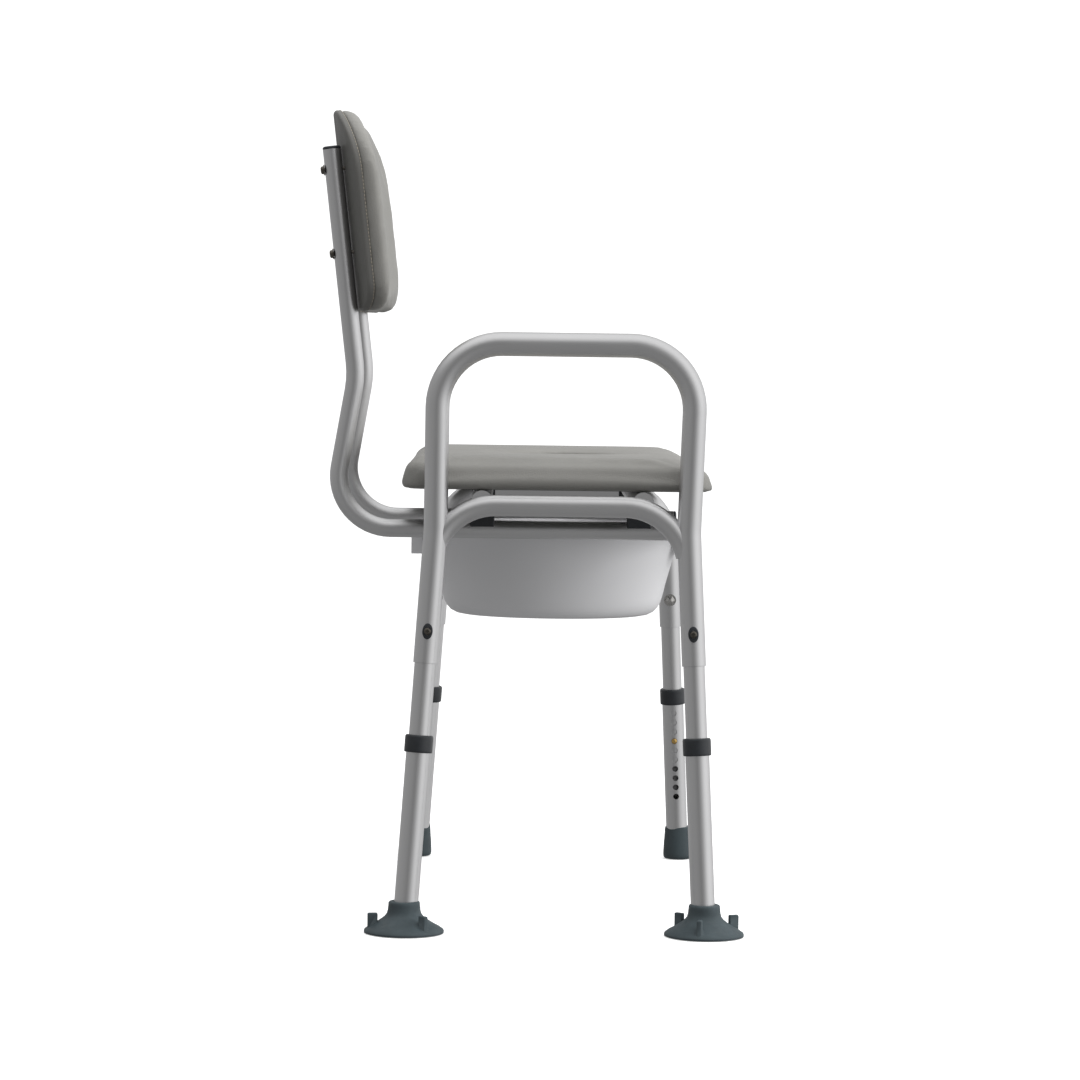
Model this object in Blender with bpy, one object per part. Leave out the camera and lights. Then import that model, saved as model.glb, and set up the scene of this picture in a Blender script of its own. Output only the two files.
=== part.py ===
"""Padded commode transfer bench: one arm hoop, suction feet at that end, rubber tips at the other.

Design axes: x runs along the bench (the arm end is negative), f points the way the sitter faces,
z is up from the floor. place() turns them into world coordinates, where the sitter faces -Y.
"""

import math

import bmesh
import bpy
from mathutils import Matrix, Vector

MM = 0.001

# Whole bench, in millimetres
CENTRE_X = 13.75
CENTRE_F = -34.74
FOOT_X = 350.0
FOOT_F = 177.75
SPLAY_X = 0.070
SPLAY_REAR = 0.066
SPLAY_FRONT = 0.0487
GAP = 0.3

# Tubes
FRAME_R = 14.3
FRAME_WALL = 1.0
INNER_R = 12.7
INNER_WALL = 1.2
SLEEVE_WALL = 1.2
RAIL_R = 12.7
RAIL_WALL = 1.5
RAIL_CAP = 2.0
RAIL_REACH = 312.0
BACK_R = 11.1
BACK_WALL = 1.5
TUBE_SIDES = 12

# Arm hoop and end frames
FRAME_END_Z = 318.5
KNEE_Z = 476.0
KNEE_BEND = 100.0
ARM_Z = 697.4
ARM_REAR_F = -145.7
ARM_FRONT_F = 161.5
ARM_BEND = 76.0
HOOP_Z = 505.8
HOOP_R = 12.7
HOOP_SHIFT_X = 1.6
HOOP_BEND = 76.5
HOOP_TURN = math.radians(75.0)
HOOP_REAR_F = -133.6
HOOP_FRONT_F = 136.4


# Adjustable legs
LEG_BOLT_Z = 356.0
INNER_TOP_Z = 392.0
INNER_END_Z = 131.0
BUTTON_Z = 163.5
HOLE_PITCH = 12.7
HOLES_ABOVE = 3
HOLES_BELOW = 6
HOLE_R = 3.9
SLEEVE_TOP_Z = 230.5
SLEEVE_END_Z = 12.0
COLLAR_LOW_Z = 212.7
COLLAR_TOP_Z = 233.4
COLLAR_R = 16.85

# Seat
SEAT_NEAR_X = -298.0
SEAT_FAR_X = 322.0
SEAT_REAR_F = -186.8
SEAT_FRONT_F = 184.0
SEAT_UNDER_Z = 523.5
SEAT_BOARD_TOP_Z = 527.0
SEAT_TOP_Z = 561.0
SEAT_BOARD_INSET = 7.0
SEAT_CORNER = 28.0
OPENING_HALF_X = 105.0
OPENING_HALF_F = 80.0
RAIL_CENTRE_F = 4.0
RAIL_OFFSET_F = 96.0

# Backrest
BACK_X = 165.0
BACK_LOW_Z = 470.3
BACK_FRONT_F = 157.0
BACK_HEEL_F = -280.0
BACK_KINK_F = -248.3
BACK_KINK_Z = 655.5
BACK_TOP_F = -281.0
BACK_TOP_Z = 932.0
BACK_HEEL_BEND = 64.0
BACK_KINK_BEND = 120.0
BACK_LEAN = (BACK_KINK_F - BACK_TOP_F) / (BACK_TOP_Z - BACK_KINK_Z)
BACK_BOLT_Z = (805.7, 907.5)
PAD_HALF_X = 208.0
PAD_LOW_Z = 735.0
PAD_TOP_Z = 982.0
PAD_UPPER_CORNER = 78.0
PAD_LOWER_CORNER = 36.0
PAD_MID_Z = 860.0
PAD_REAR_F = -269.8
PAD_WRAP = 26.0
BACK_STEPS = {4: 6, 9: 3, 14: 5, 19: 3}
BACK_BOARD = 6.0
BACK_PAD = 29.0

# Pail
PAIL_F = -2.6
PAIL_RIM_Z = 466.3
PAIL_FLANGE = 3.2
PAIL_FLANGE_X = 150.4
PAIL_OVAL = 0.82
PAIL_RIM_R = 162.0
LEDGE_IN_X = 137.0
LEDGE_LOW_Z = 463.0
LEDGE_TOP_Z = 466.0
LEDGE_WEB_Z = 478.0
LEDGE_WALL = 2.4
LEDGE_REAR_F = -165.0
LEDGE_FRONT_F = 150.0
PAIL_GRIP_F = 178.5
PAIL_GRIP_X = 48.0
PAIL_GRIP_DEPTH = 14.0
PAIL_GRIP_Z = 433.0
PAIL_FLOOR_Z = 356.0
PAIL_WALL = 3.0
PAIL_SIDES = 24


def place(x, f, z):
    """World position of a design point."""
    return Vector((x + CENTRE_X, CENTRE_F - f, z)) * MM


def clear_scene():
    for old in list(bpy.data.objects):
        bpy.data.objects.remove(old, do_unlink=True)


def material(name, colour, roughness, metallic=0.0):
    mat = bpy.data.materials.new(name)
    mat.use_nodes = True
    shader = mat.node_tree.nodes["Principled BSDF"]
    shader.inputs["Base Color"].default_value = (*colour, 1.0)
    shader.inputs["Roughness"].default_value = roughness
    shader.inputs["Metallic"].default_value = metallic
    return mat


def materials():
    return {
        "aluminium": material("aluminium", (0.62, 0.62, 0.63), 0.32, 1.0),
        "vinyl": material("vinyl", (0.23, 0.23, 0.22), 0.5),
        "board": material("board", (0.16, 0.16, 0.16), 0.6),
        "pail": material("pail", (0.62, 0.62, 0.64), 0.4),
        "rubber": material("rubber", (0.06, 0.075, 0.085), 0.7),
        "black": material("black", (0.02, 0.02, 0.022), 0.45),
        "steel": material("steel", (0.55, 0.55, 0.55), 0.25, 1.0),
        "dark_steel": material("dark_steel", (0.12, 0.11, 0.1), 0.35, 1.0),
        "brass": material("brass", (0.72, 0.5, 0.2), 0.3, 1.0),
    }


def finish(name, bm, mat):
    """Make a mesh object from a closed bmesh, faces out, shaded smooth on its round sides."""
    bmesh.ops.remove_doubles(bm, verts=bm.verts, dist=1e-7)
    bmesh.ops.recalc_face_normals(bm, faces=bm.faces)
    mesh = bpy.data.meshes.new(name)
    bm.to_mesh(mesh)
    bm.free()
    mesh.shade_smooth()
    mesh.set_sharp_from_angle(angle=math.radians(35))
    obj = bpy.data.objects.new(name, mesh)
    bpy.context.scene.collection.objects.link(obj)
    if mat is not None:
        mesh.materials.append(mat)
    return obj


def boolean(target, cutters, operation="DIFFERENCE"):
    """Combine target with each cutter, keep the result as its mesh, and remove the cutters."""
    for cutter in cutters:
        modifier = target.modifiers.new(operation.lower(), "BOOLEAN")
        modifier.operation = operation
        modifier.solver = "EXACT"
        modifier.object = cutter
    graph = bpy.context.evaluated_depsgraph_get()
    mesh = bpy.data.meshes.new_from_object(target.evaluated_get(graph))
    old = target.data
    target.modifiers.clear()
    target.data = mesh
    mesh.name = target.name
    mesh.set_sharp_from_angle(angle=math.radians(35))
    bpy.data.meshes.remove(old)
    for cutter in cutters:
        bpy.data.objects.remove(cutter, do_unlink=True)
    return target


def fillet_path(corners, radii, per_right_angle=4):
    """Points along straight runs joined by arcs of the given radii (all in metres)."""
    points = [corners[0]]
    for i, radius in enumerate(radii, start=1):
        corner = corners[i]
        back = (corners[i - 1] - corner).normalized()
        ahead = (corners[i + 1] - corner).normalized()
        turn = math.pi - back.angle(ahead)
        reach = radius * math.tan(turn / 2)
        centre = corner + (back + ahead).normalized() * (radius / math.cos(turn / 2))
        start = corner + back * reach - centre
        axis = start.cross(corner + ahead * reach - centre).normalized()
        steps = max(2, math.ceil(per_right_angle * turn / (math.pi / 2)))
        for k in range(steps + 1):
            points.append(centre + Matrix.Rotation(turn * k / steps, 3, axis) @ start)
    points.append(corners[-1])
    return points


def rings(bm, path, radius, ref, sides):
    """One ring of vertices across the path at each of its points."""
    loops = []
    for i, point in enumerate(path):
        before = path[max(i - 1, 0)]
        after = path[min(i + 1, len(path) - 1)]
        into = (point - before).normalized() if i else (after - point).normalized()
        out = (after - point).normalized() if i < len(path) - 1 else into
        tangent = (into + out).normalized()
        across = (ref - tangent * ref.dot(tangent)).normalized()
        side = tangent.cross(across)
        loop = []
        for k in range(sides):
            angle = 2 * math.pi * (k + 0.5) / sides
            offset = across * math.cos(angle) + side * math.sin(angle)
            loop.append(bm.verts.new(point + offset * radius))
        loops.append(loop)
    return loops


def skin(bm, loops):
    for low, high in zip(loops, loops[1:]):
        count = len(low)
        for k in range(count):
            n = (k + 1) % count
            bm.faces.new((low[k], low[n], high[n], high[k]))


def tube(name, path, radius, wall, ref, mat, sides=TUBE_SIDES):
    """A hollow tube along a path, open at both ends."""
    bm = bmesh.new()
    outer = rings(bm, path, radius * MM, ref, sides)
    inner = rings(bm, path, (radius - wall) * MM, ref, sides)
    skin(bm, outer)
    skin(bm, inner)
    for end in (0, -1):
        skin(bm, [outer[end], inner[end]])
    return finish(name, bm, mat)


def rod(name, path, radius, ref, mat=None, sides=TUBE_SIDES):
    """A solid round bar along a path, also used as a drill."""
    bm = bmesh.new()
    loops = rings(bm, path, radius * MM, ref, sides)
    skin(bm, loops)
    bm.faces.new(loops[0])
    bm.faces.new(loops[-1])
    return finish(name, bm, mat)


def turned(name, base, axis, ref, profile, sides, mat):
    """A turned piece: profile is a closed outline of (radius, height) points in millimetres."""
    axis = axis.normalized()
    across = (ref - axis * ref.dot(axis)).normalized()
    side = axis.cross(across)
    bm = bmesh.new()
    loops = []
    for radius, height in profile:
        centre = base + axis * height * MM
        if radius == 0:
            loops.append([bm.verts.new(centre)])
            continue
        loop = []
        for k in range(sides):
            angle = 2 * math.pi * (k + 0.5) / sides
            offset = across * math.cos(angle) + side * math.sin(angle)
            loop.append(bm.verts.new(centre + offset * radius * MM))
        loops.append(loop)
    solid = profile[0][0] == 0 and profile[-1][0] == 0
    pairs = list(zip(loops, loops[1:]))
    if not solid:
        pairs.append((loops[-1], loops[0]))
    for low, high in pairs:
        for k in range(sides):
            n = (k + 1) % sides
            if len(low) == 1:
                bm.faces.new((low[0], high[n], high[k]))
            elif len(high) == 1:
                bm.faces.new((low[k], low[n], high[0]))
            else:
                bm.faces.new((low[k], low[n], high[n], high[k]))
    return finish(name, bm, mat)


def block(name, low, high, mat, bevel=0.0):
    """A box between two design corners, with its edges rounded by bevel."""
    a = place(*low)
    b = place(*high)
    bm = bmesh.new()
    bmesh.ops.create_cube(bm, size=1.0)
    size = Vector((abs(b.x - a.x), abs(b.y - a.y), abs(b.z - a.z)))
    bmesh.ops.scale(bm, vec=size, verts=bm.verts)
    bmesh.ops.translate(bm, vec=(a + b) / 2, verts=bm.verts)
    if bevel:
        bmesh.ops.bevel(
            bm, geom=bm.edges[:], offset=bevel * MM, segments=1, affect="EDGES"
        )
    return finish(name, bm, mat)


class Leg:
    """The straight line of one leg, from the floor up into the end frame."""

    def __init__(self, name, end, side):
        self.name = name
        self.end = end
        self.side = side
        self.splay_f = SPLAY_FRONT if side > 0 else SPLAY_REAR
        self.up = (self.at(100) - self.at(0)).normalized()
        inward = Vector((-end, 0, 0))
        self.inward = (inward - self.up * inward.dot(self.up)).normalized()

    def at(self, z):
        x = self.end * (FOOT_X - SPLAY_X * z)
        f = self.side * (FOOT_F - self.splay_f * z) if z else self.side * FOOT_F
        return place(x, f, z)


LEGS = [
    Leg("near_rear", -1, -1),
    Leg("near_front", -1, 1),
    Leg("far_rear", 1, -1),
    Leg("far_front", 1, 1),
]

X_AXIS = Vector((1, 0, 0))
Z_AXIS = Vector((0, 0, 1))


def arm_path():
    rear, front = LEGS[0], LEGS[1]
    knee_rear = rear.at(KNEE_Z)
    knee_front = front.at(KNEE_Z)
    top_rear = knee_rear.copy()
    top_rear.y = place(0, ARM_REAR_F, 0).y
    top_rear.z = ARM_Z * MM
    top_front = knee_front.copy()
    top_front.y = place(0, ARM_FRONT_F, 0).y
    top_front.z = ARM_Z * MM
    corners = [
        rear.at(FRAME_END_Z), knee_rear, top_rear, top_front, knee_front, front.at(FRAME_END_Z)
    ]
    bends = [KNEE_BEND, ARM_BEND, ARM_BEND, KNEE_BEND]
    return fillet_path(corners, [b * MM for b in bends])


def far_path():
    rear, front = LEGS[2], LEGS[3]
    corners = [rear.at(FRAME_END_Z), rear.at(HOOP_Z), front.at(HOOP_Z), front.at(FRAME_END_Z)]
    return fillet_path(corners, [HOOP_BEND * MM] * 2)


def hoop_path():
    """The seat hoop of the arm end: both its ends run down and out into the uprights."""
    reach = HOOP_BEND * math.tan(HOOP_TURN / 2) + 1
    low = HOOP_Z - reach * math.sin(HOOP_TURN)
    spread = reach * math.cos(HOOP_TURN)
    points = [
        (HOOP_REAR_F - spread, low), (HOOP_REAR_F, HOOP_Z), (HOOP_FRONT_F, HOOP_Z),
        (HOOP_FRONT_F + spread, low),
    ]
    corners = [place(SPLAY_X * z - FOOT_X + HOOP_SHIFT_X, f, z) for f, z in points]
    return fillet_path(corners, [HOOP_BEND * MM] * 2)


def end_frames(mats):
    arm = tube("arm_frame", arm_path(), FRAME_R, FRAME_WALL, X_AXIS, mats["aluminium"])
    far = tube("far_frame", far_path(), FRAME_R, FRAME_WALL, X_AXIS, mats["aluminium"])
    hoop = tube("seat_hoop", hoop_path(), HOOP_R, FRAME_WALL, X_AXIS, mats["aluminium"])
    boolean(hoop, [rod("hoop_cope", arm_path(), FRAME_R + GAP, X_AXIS, sides=24)])
    return {-1: arm, 1: far}


def rail_line(side, inset=0.0):
    f = RAIL_CENTRE_F + side * RAIL_OFFSET_F
    z = SEAT_UNDER_Z - GAP - RAIL_R
    return [place(-RAIL_REACH + inset, f, z), place(RAIL_REACH - inset, f, z)]


def seat_frame(mats):
    """The two seat rails: capped tubes, coped to the hoop and to the far end frame."""
    for name, side in (("seat_rail_rear", -1), ("seat_rail_front", 1)):
        rail = rod(name, rail_line(side), RAIL_R, Z_AXIS, mats["aluminium"])
        boolean(rail, [rod("rail_bore", rail_line(side, RAIL_CAP), RAIL_R - RAIL_WALL, Z_AXIS)])
        for path, radius in ((hoop_path(), HOOP_R), (far_path(), FRAME_R)):
            boolean(rail, [rod("rail_cope", path, radius + GAP, X_AXIS)])


def leg_hardware(leg, frame, inner, mats):
    """The bolt that holds an inner leg tube in its end frame, its saddle washer and cap nut."""
    outward = -leg.inward
    middle = leg.at(LEG_BOLT_Z)
    drill = rod("drill", [middle - outward * 0.03, middle + outward * 0.03], 3.5, leg.up, sides=12)
    boolean(inner, [drill])
    drill = rod("drill", [middle - outward * 0.03, middle + outward * 0.03], 3.5, leg.up, sides=12)
    boolean(frame, [drill])
    washer_top = FRAME_R + 3.0
    washer = turned(
        f"saddle_washer_{leg.name}", middle, outward, leg.up,
        [(3.4, FRAME_R - 4), (6.2, FRAME_R - 4), (6.2, washer_top - 0.8), (5.6, washer_top),
         (3.4, washer_top)], 12, mats["black"],
    )
    stretch = Matrix.Translation(middle) @ stretch_along(leg.up, 1.53) @ Matrix.Translation(-middle)
    washer.data.transform(stretch)
    boolean(washer, [
        rod("washer_seat", [leg.at(LEG_BOLT_Z - 20), leg.at(LEG_BOLT_Z + 20)], FRAME_R + GAP,
            X_AXIS, sides=24)
    ])
    head = washer_top + GAP
    turned(
        f"leg_bolt_{leg.name}", middle, outward, leg.up,
        [(0, -FRAME_R - 7), (3.0, -FRAME_R - 7), (3.0, head), (4.3, head), (4.3, head + 1.4),
         (3.4, head + 2.6), (0, head + 2.8)], 10, mats["dark_steel"],
    )
    nut = turned(
        f"leg_nut_{leg.name}", middle, -outward, leg.up,
        [(0, FRAME_R + GAP), (5.7, FRAME_R + GAP), (5.7, FRAME_R + 5.5), (4.9, FRAME_R + 6.0),
         (4.2, FRAME_R + 8.5), (2.4, FRAME_R + 10.4), (0, FRAME_R + 11.0)], 6, mats["steel"],
    )
    boolean(nut, [rod("drill", [middle, middle - outward * (FRAME_R + 8) * MM], 3.4, leg.up)])


def stretch_along(axis, factor):
    """A matrix that stretches by factor along one axis."""
    return Matrix.Scale(factor, 4, axis)


def leg_set(leg, frame, mats):
    inner = tube(
        f"leg_tube_{leg.name}", [leg.at(INNER_END_Z), leg.at(INNER_TOP_Z)], INNER_R, INNER_WALL,
        leg.inward, mats["aluminium"],
    )
    leg_hardware(leg, frame, inner, mats)
    button_at = leg.at(BUTTON_Z)
    boolean(inner, [
        rod("drill", [button_at, button_at + leg.inward * 0.02], HOLE_R, leg.up, sides=8)
    ])
    sleeve = tube(
        f"leg_sleeve_{leg.name}", [leg.at(SLEEVE_END_Z), leg.at(SLEEVE_TOP_Z)], FRAME_R,
        SLEEVE_WALL, leg.inward, mats["aluminium"],
    )
    drills = []
    for k in range(-HOLES_BELOW, HOLES_ABOVE + 1):
        hole = button_at + leg.up * HOLE_PITCH * k * MM
        drills.append(
            rod("drill", [hole + leg.inward * 0.005, hole + leg.inward * 0.02], HOLE_R,
                leg.up, sides=8)
        )
    boolean(sleeve, drills)
    collar(leg, mats)
    snap_button(leg, button_at, mats)
    if leg.end < 0:
        suction_foot(leg, mats)
    else:
        rubber_tip(leg, mats)


def collar(leg, mats):
    """Plastic ring that caps a sleeve and steadies the inner tube."""
    height = (COLLAR_TOP_Z - COLLAR_LOW_Z) / leg.up.z
    shoulder = (SLEEVE_TOP_Z - COLLAR_LOW_Z) / leg.up.z + GAP
    bore = FRAME_R + GAP
    turned(
        f"collar_{leg.name}", leg.at(COLLAR_LOW_Z), leg.up, leg.inward,
        [(bore, 0), (COLLAR_R - 0.8, 0), (COLLAR_R, 0.8), (COLLAR_R, height - 1.6),
         (COLLAR_R - 1.6, height), (INNER_R + GAP, height), (INNER_R + GAP, shoulder),
         (bore, shoulder)], TUBE_SIDES, mats["black"],
    )


def snap_button(leg, centre, mats):
    """Brass snap button that stands through the inner tube and one hole of the sleeve."""
    wall = INNER_R - INNER_WALL
    turned(
        f"snap_button_{leg.name}", centre, leg.inward, leg.up,
        [(0, wall - 3.2), (4.6, wall - 3.2), (4.6, wall - 1.8), (3.5, wall - 1.8),
         (3.5, FRAME_R + 1.2), (2.4, FRAME_R + 2.6), (0, FRAME_R + 3.0)], 8, mats["brass"],
    )


def suction_foot(leg, mats):
    """Wide suction cup: a socket for the sleeve, a flared skirt and three release tabs."""
    bore = FRAME_R + GAP
    floor = SLEEVE_END_Z - GAP
    base = leg.at(0)
    foot = turned(
        f"suction_foot_{leg.name}", base, Z_AXIS, X_AXIS,
        [(0, 3.0), (30.0, 2.6), (44.0, 0.0), (47.5, 0.6), (47.5, 4.2), (37.0, 10.2),
         (27.0, 16.6), (20.0, 23.0), (18.0, 37.5), (0, 37.5)], 20, mats["rubber"],
    )
    tabs = []
    turn = {"near_front": (-11, 109, 229), "near_rear": (-82, 38, 158)}[leg.name]
    for degrees in turn:
        angle = math.radians(degrees)
        out = Vector((-math.cos(angle), -math.sin(angle), 0))
        tabs.append(release_tab(base, out))
    boolean(foot, tabs, "UNION")
    socket = rod("socket", [leg.at(floor), leg.at(60)], bore, leg.inward)
    boolean(foot, [socket])


def release_tab(base, out):
    side = Z_AXIS.cross(out)
    bm = bmesh.new()
    bmesh.ops.create_cube(bm, size=1.0)
    bmesh.ops.scale(bm, vec=(12 * MM, 6 * MM, 21 * MM), verts=bm.verts)
    bmesh.ops.bevel(
        bm, geom=bm.edges[:], offset=1.5 * MM, segments=1, affect="EDGES"
    )
    centre = base + out * 37.5 * MM + Z_AXIS * 13.5 * MM
    frame = Matrix((out, side, Z_AXIS)).transposed().to_4x4()
    bm.transform(Matrix.Translation(centre) @ frame)
    return finish("tab", bm, None)


def rubber_tip(leg, mats):
    bore = FRAME_R + GAP
    tip = turned(
        f"rubber_tip_{leg.name}", leg.at(0), Z_AXIS, X_AXIS,
        [(0, 0), (15.5, 0), (18.6, 1.4), (19.8, 4.5), (19.4, 20.0), (17.4, 26.0), (17.2, 43.0),
         (16.4, 44.0), (0, 44.0)], 16, mats["rubber"],
    )
    floor = SLEEVE_END_Z - GAP
    boolean(tip, [rod("socket", [leg.at(floor), leg.at(70)], bore, leg.inward)])


def rounded_outline(low, high, corners, steps=5):
    """Outline of a rectangle with its own radius at each corner, starting at the low corner."""
    (x0, y0), (x1, y1) = low, high
    centres = [
        (x0 + corners[0], y0 + corners[0], 180), (x1 - corners[1], y0 + corners[1], 270),
        (x1 - corners[2], y1 - corners[2], 0), (x0 + corners[3], y1 - corners[3], 90),
    ]
    points = []
    for (cx, cy, start), radius in zip(centres, corners):
        for k in range(steps + 1):
            angle = math.radians(start + 90 * k / steps)
            points.append((cx + radius * math.cos(angle), cy + radius * math.sin(angle)))
    return points


def stacked(name, layers, mat):
    """A solid of flat layers: each is a list of world points, all of the same length."""
    bm = bmesh.new()
    loops = [[bm.verts.new(p) for p in layer] for layer in layers]
    skin(bm, loops)
    bm.faces.new(loops[0])
    bm.faces.new(loops[-1])
    return finish(name, bm, mat)


def seat_layer(inset, front_inset, end_inset, z):
    """Outline of the seat at a height, drawn in at its rear, front and two ends."""
    outline = rounded_outline(
        (SEAT_NEAR_X + end_inset, SEAT_REAR_F + inset),
        (SEAT_FAR_X - end_inset, SEAT_FRONT_F - front_inset),
        [SEAT_CORNER - inset / 2] * 4, steps=4,
    )
    return [place(x, f, z) for x, f in outline]


def opening_layers(z_low, z_high, grow=0.0, sides=20):
    """An oval column through the seat."""
    layers = []
    for z in (z_low, z_high):
        ring = []
        for k in range(sides):
            angle = 2 * math.pi * k / sides
            ring.append(place(
                (OPENING_HALF_X + grow) * math.cos(angle),
                RAIL_CENTRE_F + (OPENING_HALF_F + grow) * math.sin(angle), z,
            ))
        layers.append(ring)
    return layers


def seat(mats):
    edge = SEAT_BOARD_INSET
    board = stacked(
        "seat_board",
        [seat_layer(edge, edge, edge, z) for z in (SEAT_UNDER_Z, SEAT_BOARD_TOP_Z)], mats["board"],
    )
    boolean(board, [stacked("hole", opening_layers(SEAT_UNDER_Z - 5, SEAT_BOARD_TOP_Z + 5), None)])
    low = SEAT_BOARD_TOP_Z + GAP
    height = SEAT_TOP_Z - low
    profile = [
        (0.6, 0.6, 0.6, 0.0), (0.0, 0.0, 0.0, 0.15), (0.8, 2.0, 0.8, 0.4), (3.0, 8.0, 4.0, 0.65),
        (8.0, 20.0, 12.0, 0.85), (17.0, 38.0, 28.0, 0.96), (30.0, 56.0, 62.0, 1.0),
    ]
    layers = [seat_layer(i, front, end, low + height * h) for i, front, end, h in profile]
    pad = stacked("seat_pad", layers, mats["vinyl"])
    boolean(pad, [stacked("hole", opening_layers(low - 5, SEAT_TOP_Z + 5, 3.0), None)])


def back_path(x, start_f=BACK_FRONT_F):
    corners = [
        place(x, start_f, BACK_LOW_Z), place(x, BACK_HEEL_F, BACK_LOW_Z),
        place(x, BACK_KINK_F, BACK_KINK_Z), place(x, BACK_TOP_F, BACK_TOP_Z),
    ]
    return fillet_path(corners, [BACK_HEEL_BEND * MM, BACK_KINK_BEND * MM])


def back_centre_f(z):
    """Where the upper back tube's centre line is at a height."""
    return BACK_KINK_F - BACK_LEAN * (z - BACK_KINK_Z)


def back_face(x, z, depth):
    """A point depth in front of the curved rear face of the back cushion."""
    f = PAD_REAR_F - BACK_LEAN * (z - PAD_MID_Z) + PAD_WRAP * (abs(x) / PAD_HALF_X) ** 4
    return place(x, f + depth, z)


def back_layer(inset, depth):
    corners = [PAD_LOWER_CORNER, PAD_LOWER_CORNER, PAD_UPPER_CORNER, PAD_UPPER_CORNER]
    half = PAD_HALF_X - inset
    low, high = PAD_LOW_Z + inset, PAD_TOP_Z - inset
    radii = [corner - inset / 2 for corner in corners]
    outline = rounded_outline((-half, low), (half, high), radii, steps=4)
    points = []
    for k, (x0, z0) in enumerate(outline):
        x1, z1 = outline[(k + 1) % len(outline)]
        steps = BACK_STEPS.get(k, 1)
        for j in range(steps):
            points.append((x0 + (x1 - x0) * j / steps, z0 + (z1 - z0) * j / steps))
    return points, [back_face(x, z, depth) for x, z in points]


def shaped_panel(name, profile, mat):
    """A curved panel: rings of (inset, depth) from rear to front, with gridded faces."""
    bm = bmesh.new()
    loops = []
    for inset, depth in profile:
        loops.append([bm.verts.new(p) for p in back_layer(inset, depth)[1]])
    skin(bm, loops)
    for loop, (inset, depth) in ((loops[0], profile[0]), (loops[-1], profile[-1])):
        inner = loop
        for share in (0.62, 0.25):
            ring = []
            for x, z in back_layer(inset, depth)[0]:
                ring.append(bm.verts.new(
                    back_face(x * share, PAD_MID_Z + (z - PAD_MID_Z) * share, depth)
                ))
            skin(bm, [inner, ring])
            inner = ring
        hub = bm.verts.new(back_face(0, PAD_MID_Z, depth))
        for k in range(len(inner)):
            bm.faces.new((inner[k], inner[(k + 1) % len(inner)], hub))
    return finish(name, bm, mat)


def backrest(mats):
    board = shaped_panel("back_board", [(6.0, 0.0), (4.0, 1.5), (4.0, BACK_BOARD)], mats["board"])
    front = BACK_BOARD + 0.9
    depth = BACK_PAD
    shaped_panel(
        "back_pad",
        [(1.5, front), (0.0, front + depth * 0.2), (0.8, front + depth * 0.5),
         (5.0, front + depth * 0.78), (13.0, front + depth * 0.95), (24.0, front + depth)],
        mats["vinyl"],
    )
    top = (back_path(BACK_X)[-1] - back_path(BACK_X)[-2]).normalized()
    forward = X_AXIS.cross(top) * -1
    if forward.y > 0:
        forward = -forward
    for name, sign in (("near", -1), ("far", 1)):
        path = back_path(sign * BACK_X)
        pipe = tube(f"back_tube_{name}", path, BACK_R, BACK_WALL, X_AXIS, mats["aluminium"])
        for label, z in zip(("lower", "upper"), BACK_BOLT_Z):
            back_bolt(f"back_bolt_{name}_{label}", sign, z, forward, pipe, board, mats)
        plug(f"back_plug_{name}", path[-1], top, mats)
        plug(f"front_plug_{name}", path[0], Vector((0, -1, 0)), mats)


def back_bolt(name, sign, z, forward, pipe, board, mats):
    """Round-headed screw through a back tube into the back board."""
    centre = place(sign * BACK_X, back_centre_f(z), z)
    reach = 16.0
    for target in (pipe, board):
        boolean(target, [
            rod("drill", [centre - forward * 0.03, centre + forward * 0.03], 3.2, X_AXIS, sides=10)
        ])
    head = BACK_R + GAP
    turned(
        name, centre, -forward, X_AXIS,
        [(0, -reach), (2.7, -reach), (2.7, head), (6.4, head), (6.4, head + 1.4),
         (4.6, head + 1.4), (4.6, head + 3.4), (3.2, head + 4.6), (0, head + 4.8)],
        10, mats["dark_steel"],
    )


def plug(name, end, outward, mats):
    """Plastic plug pushed into an open tube end."""
    stem = BACK_R - BACK_WALL - GAP
    turned(
        name, end, outward, X_AXIS,
        [(0, -14), (stem, -13), (stem, GAP), (BACK_R, GAP), (BACK_R, 2.0),
         (BACK_R - 1.6, 3.6), (0, 3.8)], TUBE_SIDES, mats["black"],
    )


def saddles(mats):
    """Blocks that seat the two back tubes under the two seat rails."""
    for row, side in (("rear", -1), ("front", 1)):
        f = RAIL_CENTRE_F + side * RAIL_OFFSET_F
        for name, sign in (("near", -1), ("far", 1)):
            x = sign * BACK_X
            saddle = block(
                f"saddle_{name}_{row}", (x - 11, f - 15, BACK_LOW_Z + 3), (x + 11, f + 15, 508.0),
                mats["black"], 1.2,
            )
            boolean(saddle, [
                rod("rail_seat", rail_line(side), RAIL_R + GAP, Z_AXIS),
                rod("tube_seat", back_path(sign * BACK_X), BACK_R + GAP, X_AXIS),
            ])


def oval(obj, centre):
    """Narrow a round piece across the bench."""
    squeeze = stretch_along(X_AXIS, PAIL_OVAL)
    obj.data.transform(Matrix.Translation(centre) @ squeeze @ Matrix.Translation(-centre))
    return obj


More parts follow.
